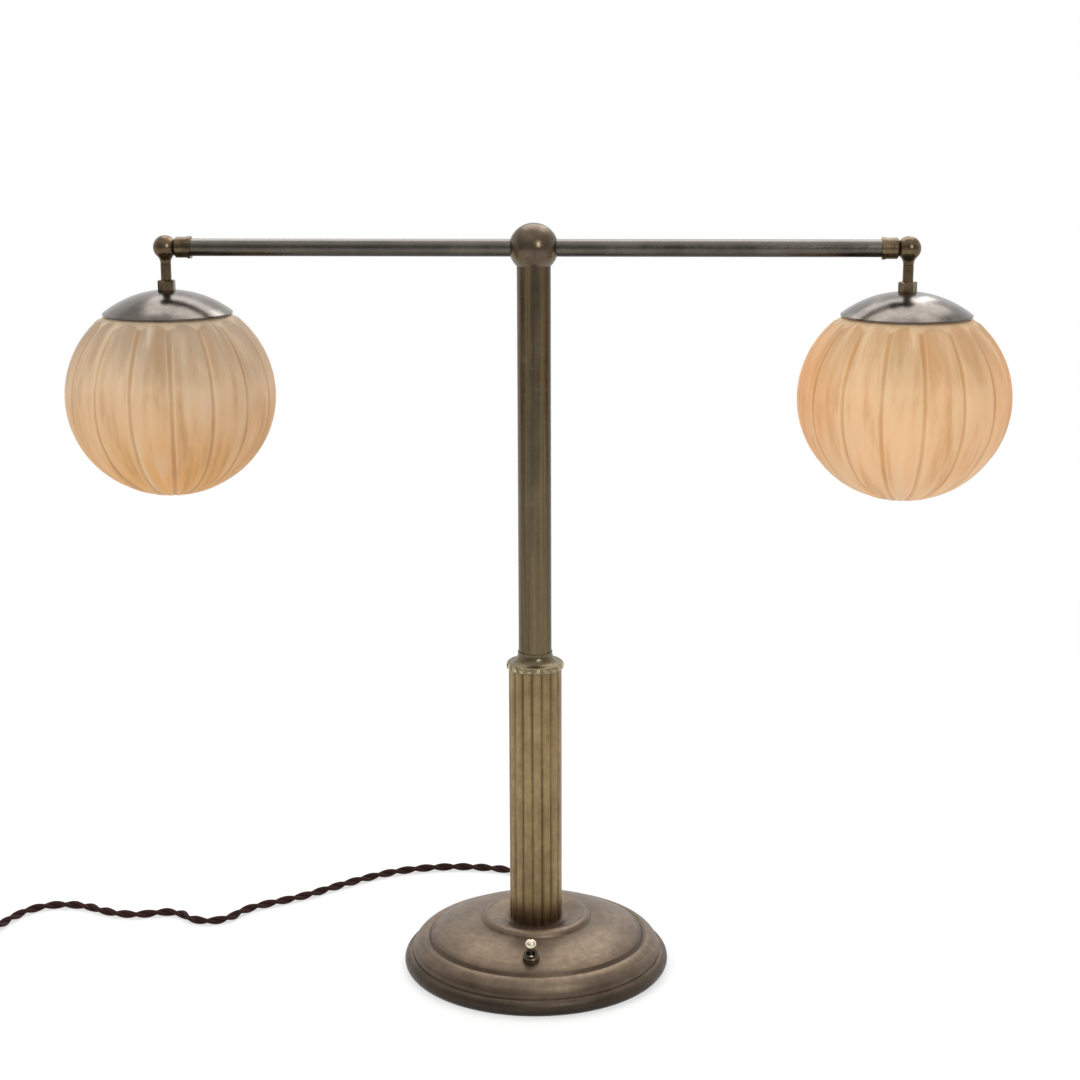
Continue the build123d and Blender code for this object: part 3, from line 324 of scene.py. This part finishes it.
# Caps: old nickel, cloudy and a little scratched
nickel = Finish("old_nickel", Metallic=1.0)
haze = nickel.noise(scale=60.0, detail=5.0, rough=0.6)
pits = nickel.noise(scale=520.0, rough=0.6)
scratches = nickel.noise(scale=1.0, detail=2.0, where=nickel.stretched((40.0, 900.0, 60.0), (0.2, 0.3, 0.6)))
tone = nickel.ramp(haze, [(0.3, rgb(84, 78, 73)), (0.55, rgb(112, 105, 99)), (0.8, rgb(138, 131, 124))])
nickel.colour(nickel.mix(nickel.ranged(pits, 0.55, 0.8, 0.0, 0.5), tone, rgb(104, 92, 80)))
nickel.roughness(nickel.ranged(haze, 0.3, 0.75, 0.16, 0.28))
nickel.bump(scratches, distance=0.04 * MM, strength=0.25)

# Metals, plastics, rubber and pad that are mostly out of sight
steel = Finish("plain_steel", Metallic=1.0)
steel.colour(steel.ramp(steel.noise(scale=90.0), [(0.3, rgb(120, 120, 120)), (0.7, rgb(168, 168, 166))]))
steel.roughness(steel.ranged(steel.noise(scale=160.0), 0.3, 0.7, 0.28, 0.45))
drawn_lines = steel.noise(scale=1.0, where=steel.stretched((40.0, 900.0, 900.0)))
steel.bump(drawn_lines, distance=0.05 * MM, strength=0.3)

raw_brass = Finish("raw_brass", Metallic=1.0)
tarnish = raw_brass.noise(scale=80.0)
raw_brass.colour(raw_brass.ramp(tarnish, [(0.3, rgb(168, 132, 72)), (0.7, rgb(206, 172, 104))]))
raw_brass.roughness(raw_brass.ranged(raw_brass.noise(scale=200.0), 0.3, 0.7, 0.24, 0.4))
raw_brass.bump(raw_brass.noise(scale=900.0), distance=0.04 * MM, strength=0.3)

iron = Finish("cast_iron", Metallic=0.6)
iron.colour(iron.ramp(iron.noise(scale=120.0), [(0.3, rgb(44, 42, 40)), (0.7, rgb(74, 70, 66))]))
iron.roughness(iron.ranged(iron.noise(scale=300.0), 0.3, 0.7, 0.6, 0.85))
iron.bump(iron.noise(scale=700.0, detail=5.0), distance=0.4 * MM, strength=0.6)

baize = Finish("green_baize", Roughness=0.95, Sheen_Weight=0.5, Sheen_Roughness=0.5)
fibres = baize.noise(scale=1400.0, detail=4.0, rough=0.8)
baize.colour(baize.ramp(fibres, [(0.3, rgb(24, 40, 26)), (0.7, rgb(58, 82, 56))]))
baize.bump(fibres, distance=0.3 * MM, strength=0.7)

ceramic = Finish("glazed_ceramic", Coat_Weight=0.4)
glaze = ceramic.noise(scale=120.0)
ceramic.colour(ceramic.ramp(glaze, [(0.3, rgb(214, 206, 192)), (0.7, rgb(236, 231, 220))]))
ceramic.roughness(ceramic.ranged(ceramic.noise(scale=90.0), 0.3, 0.7, 0.2, 0.35))
ceramic.bump(ceramic.noise(scale=260.0), distance=0.1 * MM, strength=0.3)

# The switch's nut and lever
dark_metal, tone = aged_brass(
    "dark_brass",
    dark=rgb(56, 46, 37),
    middle=rgb(92, 78, 62),
    light=rgb(136, 118, 95),
    rough=0.32,
    grain=(300.0, 300.0, 300.0),
    relief=0.3,
)
dark_metal.colour(tone)
bright_metal = Finish("rubbed_brass", Metallic=1.0)
rubbing = bright_metal.noise(scale=300.0, detail=4.0)
bright_metal.colour(bright_metal.ramp(rubbing, [(0.3, rgb(212, 194, 164)), (0.7, rgb(246, 236, 214))]))
bright_metal.roughness(bright_metal.ranged(bright_metal.noise(scale=500.0), 0.3, 0.7, 0.16, 0.3))
bright_metal.bump(bright_metal.noise(scale=900.0), distance=0.04 * MM, strength=0.3)


def moulded(name, dark, light, rough):
    """Moulded plastic or rubber with a fine grain and slight marks of handling."""
    finish = Finish(name)
    patches = finish.noise(scale=70.0, detail=4.0)
    finish.colour(finish.ramp(patches, [(0.3, dark), (0.7, light)]))
    finish.roughness(finish.ranged(patches, 0.3, 0.7, rough - 0.06, rough + 0.1))
    finish.bump(finish.noise(scale=1400.0), distance=0.08 * MM, strength=0.4)
    return finish.material


black_case = moulded("black_case", rgb(22, 21, 20), rgb(40, 38, 36), rough=0.5)
bush_rubber = moulded("bush_rubber", rgb(30, 22, 18), rgb(48, 36, 30), rough=0.6)
tie_rubber = moulded("tie_rubber", rgb(30, 22, 20), rgb(50, 38, 34), rough=0.62)
plug_plastic = moulded("plug_plastic", rgb(34, 24, 20), rgb(54, 40, 33), rough=0.34)
terminal_plastic = moulded("terminal_plastic", rgb(206, 200, 186), rgb(230, 225, 212), rough=0.5)
flex_rubber = moulded("flex_rubber", rgb(96, 74, 48), rgb(132, 104, 70), rough=0.55)

bulb_glass = Finish("opal_bulb", Roughness=0.35, Transmission_Weight=0.35, IOR=1.45)
milk = bulb_glass.noise(scale=40.0)
bulb_glass.colour(bulb_glass.ramp(milk, [(0.3, rgb(238, 232, 218)), (0.7, rgb(250, 247, 240))]))
bulb_glass.bump(bulb_glass.noise(scale=700.0), distance=0.04 * MM, strength=0.2)

for material, names in (
    (iron.material, "base_weight"),
    (steel.material, "base_plate plate_screws tie_tube lock_washer centring_rings grub_screws"),
    (raw_brass.material, "lock_nut post_bushes ball_nipple arm_nipples plug_pins"),
    (baize.material, "baize_pad"),
    (black_case, "switch_body"),
    (dark_metal.material, "switch_ring_nut"),
    (bright_metal.material, "switch_lever"),
    (bush_rubber, "cable_bush"),
    (tie_rubber, "cord_tie"),
    (plug_plastic, "plug_body"),
    (terminal_plastic, "terminal_block cord_clamp"),
    (flex_rubber, "stem_flexes base_wires"),
):
    for name in names.split():
        paint(name, material)

for material, names in (
    (arm.material, "arm"),
    (fitting.material, "ferrule elbow neck coupling_nut"),
    (nickel.material, "cap"),
    (raw_brass.material, "lock_ring lampholder socket_sleeve"),
    (steel.material, "globe_springs bulb_cap"),
    (ceramic.material, "lampholder_insert"),
    (bulb_glass.material, "bulb_glass"),
    (flex_rubber, "head_flex"),
):
    for name in names.split():
        paint(f"left_{name}", material)
        paint(f"right_{name}", material)


def mesh_piece(name, points, faces, material, measure, uvs):
    """A smooth mesh piece; uvs gives one pair per point, in a layer named for what it measures."""
    mesh = bpy.data.meshes.new(name)
    mesh.from_pydata(points, [], faces)
    mesh.materials.append(material)
    layer = mesh.uv_layers.new(name=measure)
    for loop in mesh.loops:
        layer.data[loop.index].uv = uvs[loop.vertex_index]
    mesh.polygons.foreach_set("use_smooth", [True] * len(mesh.polygons))
    mesh.update()
    piece = bpy.data.objects.new(name, mesh)
    bpy.context.scene.collection.objects.link(piece)
    return piece


# Globes: sixteen crowned panels with fine seams, which start in round shoulders under the cap.
# A shoulder starts, sags and runs out at angles from the top, in radians, and its step is in millimetres.
# POLE_WIDTH and NARROWEST are shares of the radius: inside the first the ribs fade out, and no panel
# counts as narrower than it is at the second.
GLOBE_RADIUS = 75.0
GLOBE_HALF_HEIGHT = 72.5
GLOBE_WALL = 2.4
GLOBE_MOUTH = 34.0
GLOBE_DROP = 105.1
GLOBE_CENTRE = ARM_HEIGHT - GLOBE_DROP
PANELS = 16
PANEL_STEPS = 22
RINGS = 110
INNER_RINGS = 40
CROWN = 0.75
CROWN_POWER = 2.4
SEAM_DEPTH = 0.6
SEAM_HALF_WIDTH = 1.5
SHOULDER_START = 0.690
SHOULDER_SAG = 0.075
SHOULDER_RUN = 0.045
SHOULDER_STEP = 0.9
POLE_WIDTH = 0.36
NARROWEST = 0.05
PANEL_MIDDLE = pi * GLOBE_RADIUS / PANELS


def smooth_step(value):
    """A rise from 0 to 1 that starts and ends level."""
    value = min(1.0, max(0.0, value))
    return value * value * (3 - 2 * value)


def globe_mesh(name, centre_x, seam_turn, material):
    """Ribbed outside and plain inside of one globe, joined round the mouth."""
    points, faces, uvs = [], [], []
    around = PANELS * PANEL_STEPS
    mouth_share = GLOBE_MOUTH / GLOBE_RADIUS
    top = pi / 2 - asin(mouth_share)
    for ring in range(RINGS):
        lift = top - (top + pi / 2) * ring / RINGS
        for step in range(around):
            turn = 2 * pi * step / around
            across = (step % PANEL_STEPS) / PANEL_STEPS
            aside = abs(2 * across - 1)
            panel_width = 2 * pi * GLOBE_RADIUS * max(cos(lift), NARROWEST) / PANELS
            from_seam = min(across, 1 - across) * panel_width
            colatitude = pi / 2 - lift
            begun = smooth_step((colatitude - SHOULDER_START - SHOULDER_SAG * aside**2) / SHOULDER_RUN)
            near_pole = smooth_step(cos(lift) / POLE_WIDTH)
            cut = CROWN * aside**CROWN_POWER + SEAM_DEPTH * exp(-((from_seam / SEAM_HALF_WIDTH) ** 2))
            sink = SHOULDER_STEP * (1 - begun) + cut * begun * near_pole
            level = (GLOBE_RADIUS - sink) * cos(lift)
            height = (GLOBE_HALF_HEIGHT - sink) * sin(lift)
            angle = turn + seam_turn
            points.append((centre_x + level * cos(angle), level * sin(angle), GLOBE_CENTRE + height))
            uvs.append((from_seam, colatitude * GLOBE_RADIUS - SHOULDER_SAG * GLOBE_RADIUS * aside**2))
    for ring in range(RINGS - 1):
        for step in range(around):
            after = (step + 1) % around
            a, b = ring * around + step, ring * around + after
            faces.append((a, a + around, b + around, b))
    pole = len(points)
    points.append((centre_x, 0.0, GLOBE_CENTRE - GLOBE_HALF_HEIGHT))
    uvs.append((0.0, pi * GLOBE_RADIUS))
    last = (RINGS - 1) * around
    faces += [(last + step, pole, last + (step + 1) % around) for step in range(around)]
    first_inner = len(points)
    for ring in range(INNER_RINGS):
        lift = top - (top + pi / 2) * ring / INNER_RINGS
        for step in range(around):
            angle = 2 * pi * step / around + seam_turn
            level = (GLOBE_RADIUS - GLOBE_WALL) * cos(lift)
            height = (GLOBE_HALF_HEIGHT - GLOBE_WALL) * sin(lift)
            points.append((centre_x + level * cos(angle), level * sin(angle), GLOBE_CENTRE + height))
    for ring in range(INNER_RINGS - 1):
        for step in range(around):
            after = (step + 1) % around
            a, b = first_inner + ring * around + step, first_inner + ring * around + after
            faces.append((a, b, b + around, a + around))
    pole = len(points)
    points.append((centre_x, 0.0, GLOBE_CENTRE - GLOBE_HALF_HEIGHT + GLOBE_WALL))
    last = first_inner + (INNER_RINGS - 1) * around
    faces += [(last + step, last + (step + 1) % around, pole) for step in range(around)]
    for step in range(around):
        after = (step + 1) % around
        faces.append((step, after, first_inner + after, first_inner + step))
    uvs += [(PANEL_MIDDLE, pi * GLOBE_RADIUS / 2)] * (len(points) - first_inner)
    in_metres = [tuple(v * MM for v in point) for point in points]
    return mesh_piece(name, in_metres, faces, material, "seam_and_drop", uvs)


# Where the glass changes: heights and distances from its middle, then distances from a seam and from
# the pole, both measured along its own surface
GLASS_HEIGHTS = (360.0, 500.0)
AMBER_FLANKS = (50.0, 74.0)
AMBER_FADE = 50.0
STREAK_CORE = 4.0
SEAM_WANDER = 0.4
SEAM_SHADE = (0.0, 2.1)
BESIDE_SEAM = ((1.2, 2.0), (3.4, 2.2))
SEAM_START = (50.0, 75.0)
PAINTED_CROWN_HIGHLIGHT = (50.0, 53.0)
STREAK_STRETCH = 3.0


def frosted_glass(name, centre_x, top, middle, bottom, deep, pale, amber, amber_top):
    """Satin glass with amber in its depth, darker in its seams and streaked along its panels, with painted
    amber at its sides and a painted highlight on its crown.
    """
    finish = Finish(name, Transmission_Weight=0.46, IOR=1.25)
    axes = finish.split()

    cloud = finish.noise(scale=16.0)
    level = finish.over(axes["Z"], GLASS_HEIGHTS)
    level = finish.math("ADD", level, finish.ranged(cloud, 0.2, 0.8, -0.1, 0.1))
    tone = finish.ramp(level, [(0.05, bottom), (0.6, middle), (0.95, top)])

    # Painted deeper amber at the sides below amber_top, standing for light's longer path through the glass
    # there
    offset = finish.math("SUBTRACT", axes["X"], centre_x * MM)
    painted_flank = finish.over(finish.math("ABSOLUTE", offset), AMBER_FLANKS, 0.0, 0.55)
    lower = finish.over(axes["Z"], (amber_top - AMBER_FADE, amber_top), 1.0, 0.0)
    tone = finish.mix(finish.math("MULTIPLY", painted_flank, lower), tone, amber)

    reach = finish.math("MAXIMUM", finish.radius_from(centre_x * MM), STREAK_CORE * MM)
    turned = [
        ("X", finish.math("DIVIDE", offset, reach)),
        ("Y", finish.math("DIVIDE", axes["Y"], reach)),
        ("Z", finish.math("MULTIPLY", axes["Z"], STREAK_STRETCH)),
    ]
    round_axis = finish.node("ShaderNodeCombineXYZ", turned).outputs[0]
    streak = finish.noise(scale=7.5, rough=0.55, where=round_axis)
    tone = finish.mix(finish.ranged(streak, 0.5, 0.68, 0.0, 0.55), tone, deep)
    tone = finish.mix(finish.ranged(streak, 0.48, 0.32, 0.0, 0.6), tone, pale)

    measure = finish.split(finish.node("ShaderNodeUVMap", uv_map="seam_and_drop").outputs["UV"])
    ragged = finish.noise(scale=1.0, rough=0.6, where=finish.stretched((45.0, 45.0, 28.0)))
    wander = finish.ranged(ragged, 0.3, 0.7, -SEAM_WANDER, SEAM_WANDER)
    aside = finish.math("ADD", measure["X"], wander)
    rise, fall = BESIDE_SEAM
    beside = finish.math("MULTIPLY", finish.ranged(aside, *rise), finish.ranged(aside, *fall))
    started = finish.ranged(measure["Y"], *SEAM_START, 0.35, 1.0)
    tone = finish.mix(finish.math("MULTIPLY", finish.math("MULTIPLY", beside, started), 0.4), tone, pale)
    seam = finish.math("MULTIPLY", finish.ranged(aside, *SEAM_SHADE, 0.62, 0.0), started)
    tone = finish.mix(seam, tone, deep)
    # Painted highlight: the crown above the shoulders, under the cap, is paler
    finish.colour(finish.mix(finish.ranged(measure["Y"], *PAINTED_CROWN_HIGHLIGHT, 0.6, 0.0), tone, pale))

    satin = finish.noise(scale=1500.0, rough=0.6)
    finish.roughness(finish.ranged(satin, 0.3, 0.7, 0.42, 0.55))
    finish.bump(satin, distance=0.06 * MM, strength=0.4)
    finish.bump(streak, distance=0.4 * MM, strength=0.2)
    absorbed = [("Color", rgb(255, 200, 118)), ("Density", 72.0)]
    absorption = finish.node("ShaderNodeVolumeAbsorption", absorbed).outputs[0]
    finish.tree.links.new(absorption, finish.tree.nodes["Material Output"].inputs["Volume"])
    return finish.material


left_glass = frosted_glass(
    "left_frosted_glass",
    centre_x=-ARM_REACH,
    top=rgb(182, 165, 143),
    middle=rgb(236, 212, 176),
    bottom=rgb(243, 192, 112),
    deep=rgb(200, 158, 108),
    pale=rgb(244, 224, 192),
    amber=rgb(240, 186, 112),
    amber_top=435.0,
)
right_glass = frosted_glass(
    "right_frosted_glass",
    centre_x=ARM_REACH,
    top=rgb(210, 177, 134),
    middle=rgb(250, 222, 177),
    bottom=rgb(253, 220, 172),
    deep=rgb(218, 166, 102),
    pale=rgb(255, 232, 192),
    amber=rgb(250, 184, 98),
    amber_top=550.0,
)
LEFT_SEAM_TURN = 12.9
RIGHT_SEAM_TURN = 4.45
for side, centre_x, glass, seam_turn in (
    ("left", -ARM_REACH, left_glass, LEFT_SEAM_TURN),
    ("right", ARM_REACH, right_glass, RIGHT_SEAM_TURN),
):
    globe = globe_mesh(f"{side}_ribbed_globe", centre_x, radians(seam_turn), glass)
    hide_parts(f"{side}_globe")
    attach(globe, f"{side}_head")

# Cord: the route of the lying stretch, in millimetres, then the coil's turns and the run into the plug
ROUTE = [
    (0.0, 92.75, 7.5),
    (0.0, 136.0, 7.5),
    (-5.0, 163.0, 3.25),
    (-30.0, 178.0, 3.25),
    (-62.0, 184.0, 3.25),
    (-93.0, 182.0, 3.25),
    (-122.0, 173.0, 3.25),
    (-147.0, 157.0, 3.25),
    (-171.0, 136.0, 3.25),
    (-196.0, 112.0, 3.25),
    (-222.0, 96.0, 3.25),
    (-237.8, 83.9, 3.25),
    (-246.4, 65.3, 3.25),
    (-260.2, 58.3, 3.25),
    (-275.5, 61.2, 3.25),
    (-286.2, 73.4, 3.25),
    (-300.4, 76.7, 3.25),
    (-321.0, 68.1, 3.25),
    (-345.0, 72.5, 3.25),
    (-367.0, 86.0, 3.25),
    (-390.0, 88.0, 3.25),
    (-409.0, 78.0, 3.25),
    (-420.0, 58.0, 3.25),
    (-426.5, 36.0, 3.25),
]
COIL_CENTRE = (-478.0, -2.0)
COIL_RADIUS = 42.3
COIL_PITCH = 7.0
COIL_RISE = 7.0
COIL_HALF_TURNS = 5
COIL_LIE = 4.15
COIL_HEADING = 255.0
COIL_TAIL = 32.0
COIL_LEAD_IN = 18.0
TURN_STEPS = 6
# The cord's line runs at this share of the radius at which a turn's control points lie
TURN_EASE = (6 + 2 * cos(pi / TURN_STEPS)) / 8


def heading_vector(heading):
    """A level way of length 1, for a heading in degrees from the X axis."""
    return Vector((cos(radians(heading)), sin(radians(heading)), 0.0))


def coil_points():
    """Control points of the coil: half turns that draw in, one that climbs, and half turns that open out."""
    radii = [COIL_RADIUS - index * COIL_PITCH / 2 for index in range(COIL_HALF_TURNS + 1)]
    radii += radii[-2::-1]
    heading = COIL_HEADING
    start = Vector((COIL_CENTRE[0], COIL_CENTRE[1], COIL_LIE)) + heading_vector(heading + 90) * COIL_RADIUS
    here, made = start, []
    for index, radius in enumerate(radii):
        centre = here + heading_vector(heading - 90) * radius
        for step in range(TURN_STEPS):
            angle = heading + 90 - 180 * (step + 0.5) / TURN_STEPS
            point = centre + heading_vector(angle) * radius / TURN_EASE
            if index == COIL_HALF_TURNS:
                point.z += COIL_RISE * (step + 0.5) / TURN_STEPS
            made.append(point)
        here = centre + heading_vector(heading - 90) * radius
        if index == COIL_HALF_TURNS:
            here.z += COIL_RISE
        heading += 180
    ahead = heading_vector(heading)
    return made + [here + ahead * COIL_TAIL * share for share in (0.35, 0.7, 1.0)], start


coil, coil_start = coil_points()
lead_in = heading_vector(COIL_HEADING)
mouth = coil_start - lead_in * 2 * CORD_RADIUS
tail = mouth - lead_in * COIL_LEAD_IN
control = [Vector(point) for point in ROUTE] + [tail, mouth] + coil

curve = bpy.data.curves.new("cord_line", "CURVE")
curve.dimensions = "3D"
spline = curve.splines.new("NURBS")
spline.points.add(len(control) - 1)
for point, place in zip(spline.points, control):
    point.co = (place.x * MM, place.y * MM, place.z * MM, 1.0)
spline.order_u = 3
spline.use_endpoint_u = True
spline.resolution_u = 12
line_object = bpy.data.objects.new("cord_line", curve)
line_mesh = bpy.data.meshes.new_from_object(line_object)
path = [vertex.co.copy() for vertex in line_mesh.vertices]
bpy.data.objects.remove(line_object)
bpy.data.curves.remove(curve)
bpy.data.meshes.remove(line_mesh)


def evenly(points, step):
    """The same line with its points a step apart."""
    out, carried = [points[0]], 0.0
    for before, after in zip(points, points[1:]):
        run = (after - before).length
        place = step - carried
        while place <= run:
            out.append(before.lerp(after, place / run))
            place += step
        carried = run - (place - step)
    if (out[-1] - points[-1]).length > step / 4:
        out.append(points[-1])
    return out


# Strands: their twist and thickness, and the braid of their cloth
TWIST_PITCH = 32.5 * MM
STRAND_RADIUS = 1.62 * MM
STRAND_OFFSET = 1.56 * MM
STRAND_SIDES = 14
CORD_STEP = 1.6 * MM
BRAID_PER_MM = 5.2
BRAID_THREADS = 8


def twisted_strands(name, line, material):
    """Two cloth-covered strands twisted round each other along the line."""
    points, faces, uvs = [], [], []
    tangents = []
    for index in range(len(line)):
        ahead = line[min(index + 1, len(line) - 1)] - line[max(index - 1, 0)]
        tangents.append(ahead.normalized())
    across = tangents[0].cross(Vector((0, 0, 1))).normalized()
    frames = []
    for tangent in tangents:
        across = (across - tangent * across.dot(tangent)).normalized()
        frames.append((across.copy(), tangent.cross(across)))
    for strand in range(2):
        first = len(points)
        centres = []
        length = 0.0
        for index, (place, (u, v)) in enumerate(zip(line, frames)):
            if index:
                length += (place - line[index - 1]).length
            twist = 2 * pi * length / TWIST_PITCH + pi * strand
            centres.append(place + (u * cos(twist) + v * sin(twist)) * STRAND_OFFSET)
        run = 0.0
        for index, centre in enumerate(centres):
            if index:
                run += (centre - centres[index - 1]).length
            ahead = (centres[min(index + 1, len(centres) - 1)] - centres[max(index - 1, 0)]).normalized()
            side = (frames[index][0] - ahead * frames[index][0].dot(ahead)).normalized()
            up = ahead.cross(side)
            for step in range(STRAND_SIDES):
                turn = 2 * pi * step / STRAND_SIDES
                points.append(centre + (side * cos(turn) + up * sin(turn)) * STRAND_RADIUS)
                uvs.append((run / MM, step / STRAND_SIDES))
        for index in range(len(centres) - 1):
            for step in range(STRAND_SIDES):
                after = (step + 1) % STRAND_SIDES
                a, b = first + index * STRAND_SIDES + step, first + index * STRAND_SIDES + after
                faces.append((a, b, b + STRAND_SIDES, a + STRAND_SIDES))
        faces.append(tuple(first + step for step in reversed(range(STRAND_SIDES))))
        last = first + (len(centres) - 1) * STRAND_SIDES
        faces.append(tuple(last + step for step in range(STRAND_SIDES)))
    return mesh_piece(name, points, faces, material, "along_and_round", uvs)


cloth = Finish(
    "braided_cloth", Roughness=0.8, Sheen_Weight=0.05, Sheen_Roughness=0.4, Specular_IOR_Level=0.2
)
strand_place = cloth.split(cloth.node("ShaderNodeUVMap", uv_map="along_and_round").outputs["UV"])
along = cloth.math("MULTIPLY", strand_place["X"], BRAID_PER_MM)
around = cloth.math("MULTIPLY", strand_place["Y"], 2 * pi * BRAID_THREADS)
crossings = [cloth.math(way, along, around) for way in ("ADD", "SUBTRACT")]
weave = cloth.math("MAXIMUM", *[cloth.math("SINE", crossing) for crossing in crossings])
# The braid's crests are reddish thread, with a painted highlight on them
braid_tones = [(0.3, rgb(7, 5, 5)), (0.85, rgb(24, 15, 13)), (1.0, rgb(84, 40, 32))]
tone = cloth.ramp(cloth.ranged(weave, -1.0, 1.0), braid_tones)
wear = cloth.noise(scale=90.0)
cloth.colour(cloth.mix(cloth.ranged(wear, 0.4, 0.8, 0.0, 0.5), tone, rgb(22, 15, 13)))
cloth.bump(weave, distance=0.18 * MM, strength=0.7)

line = evenly(path, CORD_STEP)
cord = twisted_strands("twisted_cord", line, cloth.material)
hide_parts("cord_free", "cord_coil")
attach(cord, "root")

# Floor: pale paper that is white where it is seen directly, and shows its own shade near the object
FLOOR_REACH = 6000.0 * MM
FLOOR_CORNERS = ((-1, -1), (1, -1), (1, 1), (-1, 1))
GLOW_RADII = (350.0, 1300.0)
MIRRORED_DEPTHS = (-1500.0, 600.0)
floor_mesh = bpy.data.meshes.new("floor")
floor_mesh.from_pydata([(x * FLOOR_REACH, y * FLOOR_REACH, 0) for x, y in FLOOR_CORNERS], [], [(0, 1, 2, 3)])
floor = bpy.data.objects.new("floor", floor_mesh)
bpy.context.scene.collection.objects.link(floor)
paper = Finish("pale_paper", Roughness=0.8, Base_Color=(0.86, 0.86, 0.855, 1.0))
glow = paper.node("ShaderNodeEmission", [("Color", WHITE), ("Strength", 1.0)]).outputs[0]
direct = paper.math("MULTIPLY", paper.seen_directly(), paper.over(paper.radius_from(), GLOW_RADII, 0.6, 1.0))
glossy_ray = paper.node("ShaderNodeLightPath").outputs["Is Glossy Ray"]
mirrored = paper.math("MULTIPLY", glossy_ray, paper.over(paper.split()["Y"], MIRRORED_DEPTHS, 0.4, 1.0))
share = paper.math("MAXIMUM", direct, mirrored)
blended = paper.node("ShaderNodeMixShader", [(0, share), (1, paper.shader.outputs[0]), (2, glow)]).outputs[0]
paper.tree.links.new(blended, paper.tree.nodes["Material Output"].inputs["Surface"])
floor_mesh.materials.append(paper.material)

# World: white where it is seen directly, and for the light it gives, brightest behind the object and above
world = bpy.data.worlds.new("studio")
bpy.context.scene.world = world
world.use_nodes = True
SKY_DIM = 0.3
BEHIND_RISE = (-0.4, 0.4)
ABOVE_RISE = (0.45, 0.9)
studio = Nodes(world.node_tree, "Generated")
direction = studio.split()
behind = studio.ranged(direction["Y"], *BEHIND_RISE, SKY_DIM, 1.0)
above = studio.ranged(direction["Z"], *ABOVE_RISE, SKY_DIM, 1.0)
sky = studio.math("MAXIMUM", behind, above)
brightness = studio.node(
    "ShaderNodeMix", [(0, studio.seen_directly()), (2, sky), (3, 1.0)], data_type="FLOAT"
).outputs[0]
backing = studio.tree.nodes["Background"]
backing.inputs["Color"].default_value = WHITE
studio.tree.links.new(brightness, backing.inputs["Strength"])


def softbox(name, place, target, size, power, mirrored=True):
    """A soft lamp that faces its target; mirrored says whether shiny surfaces show it."""
    lamp = bpy.data.lights.new(name, "AREA")
    lamp.shape = "RECTANGLE"
    lamp.size, lamp.size_y = size
    lamp.energy = power
    box = bpy.data.objects.new(name, lamp)
    box.location = place
    box.rotation_euler = (Vector(target) - Vector(place)).to_track_quat("-Z", "Y").to_euler()
    box.visible_glossy = mirrored
    bpy.context.scene.collection.objects.link(box)


# Lamps: places, targets and sizes in metres, power in watts
LOW_TARGET = (0, 0, 0.3)
MIDDLE_TARGET = (0, 0, 0.4)
HIGH_TARGET = (0, 0, 0.46)
softbox("fill_left", (-1.5, -1.3, 1.5), LOW_TARGET, size=(0.9, 1.4), power=17.0, mirrored=False)
softbox("key_right", (1.0, -1.95, 1.35), LOW_TARGET, size=(0.5, 0.9), power=13.0)
softbox("overhead", (0.1, 0.9, 1.95), MIDDLE_TARGET, size=(2.0, 1.3), power=18.0)
softbox("strip_behind", (1.3, 3.9, 3.3), HIGH_TARGET, size=(0.45, 1.8), power=12.0)

# Camera: fitted to the photograph, a little to the right and looking slightly down; metres and degrees
CAMERA_PLACE = (0.0827, -1.4984, 0.6666)
CAMERA_TILT = 77.252
CAMERA_ROLL = 0.17
CAMERA_HEADING = 2.975
camera_data = bpy.data.cameras.new("camera")
camera_data.sensor_fit = "HORIZONTAL"
camera_data.sensor_width = 36.0
camera_data.lens = 71.0
camera_data.clip_end = 50.0
camera = bpy.data.objects.new("camera", camera_data)
camera.location = CAMERA_PLACE
camera.rotation_euler = (radians(CAMERA_TILT), radians(CAMERA_ROLL), radians(CAMERA_HEADING))
bpy.context.scene.collection.objects.link(camera)
bpy.context.scene.camera = camera
bpy.context.scene.view_settings.view_transform = "Standard"
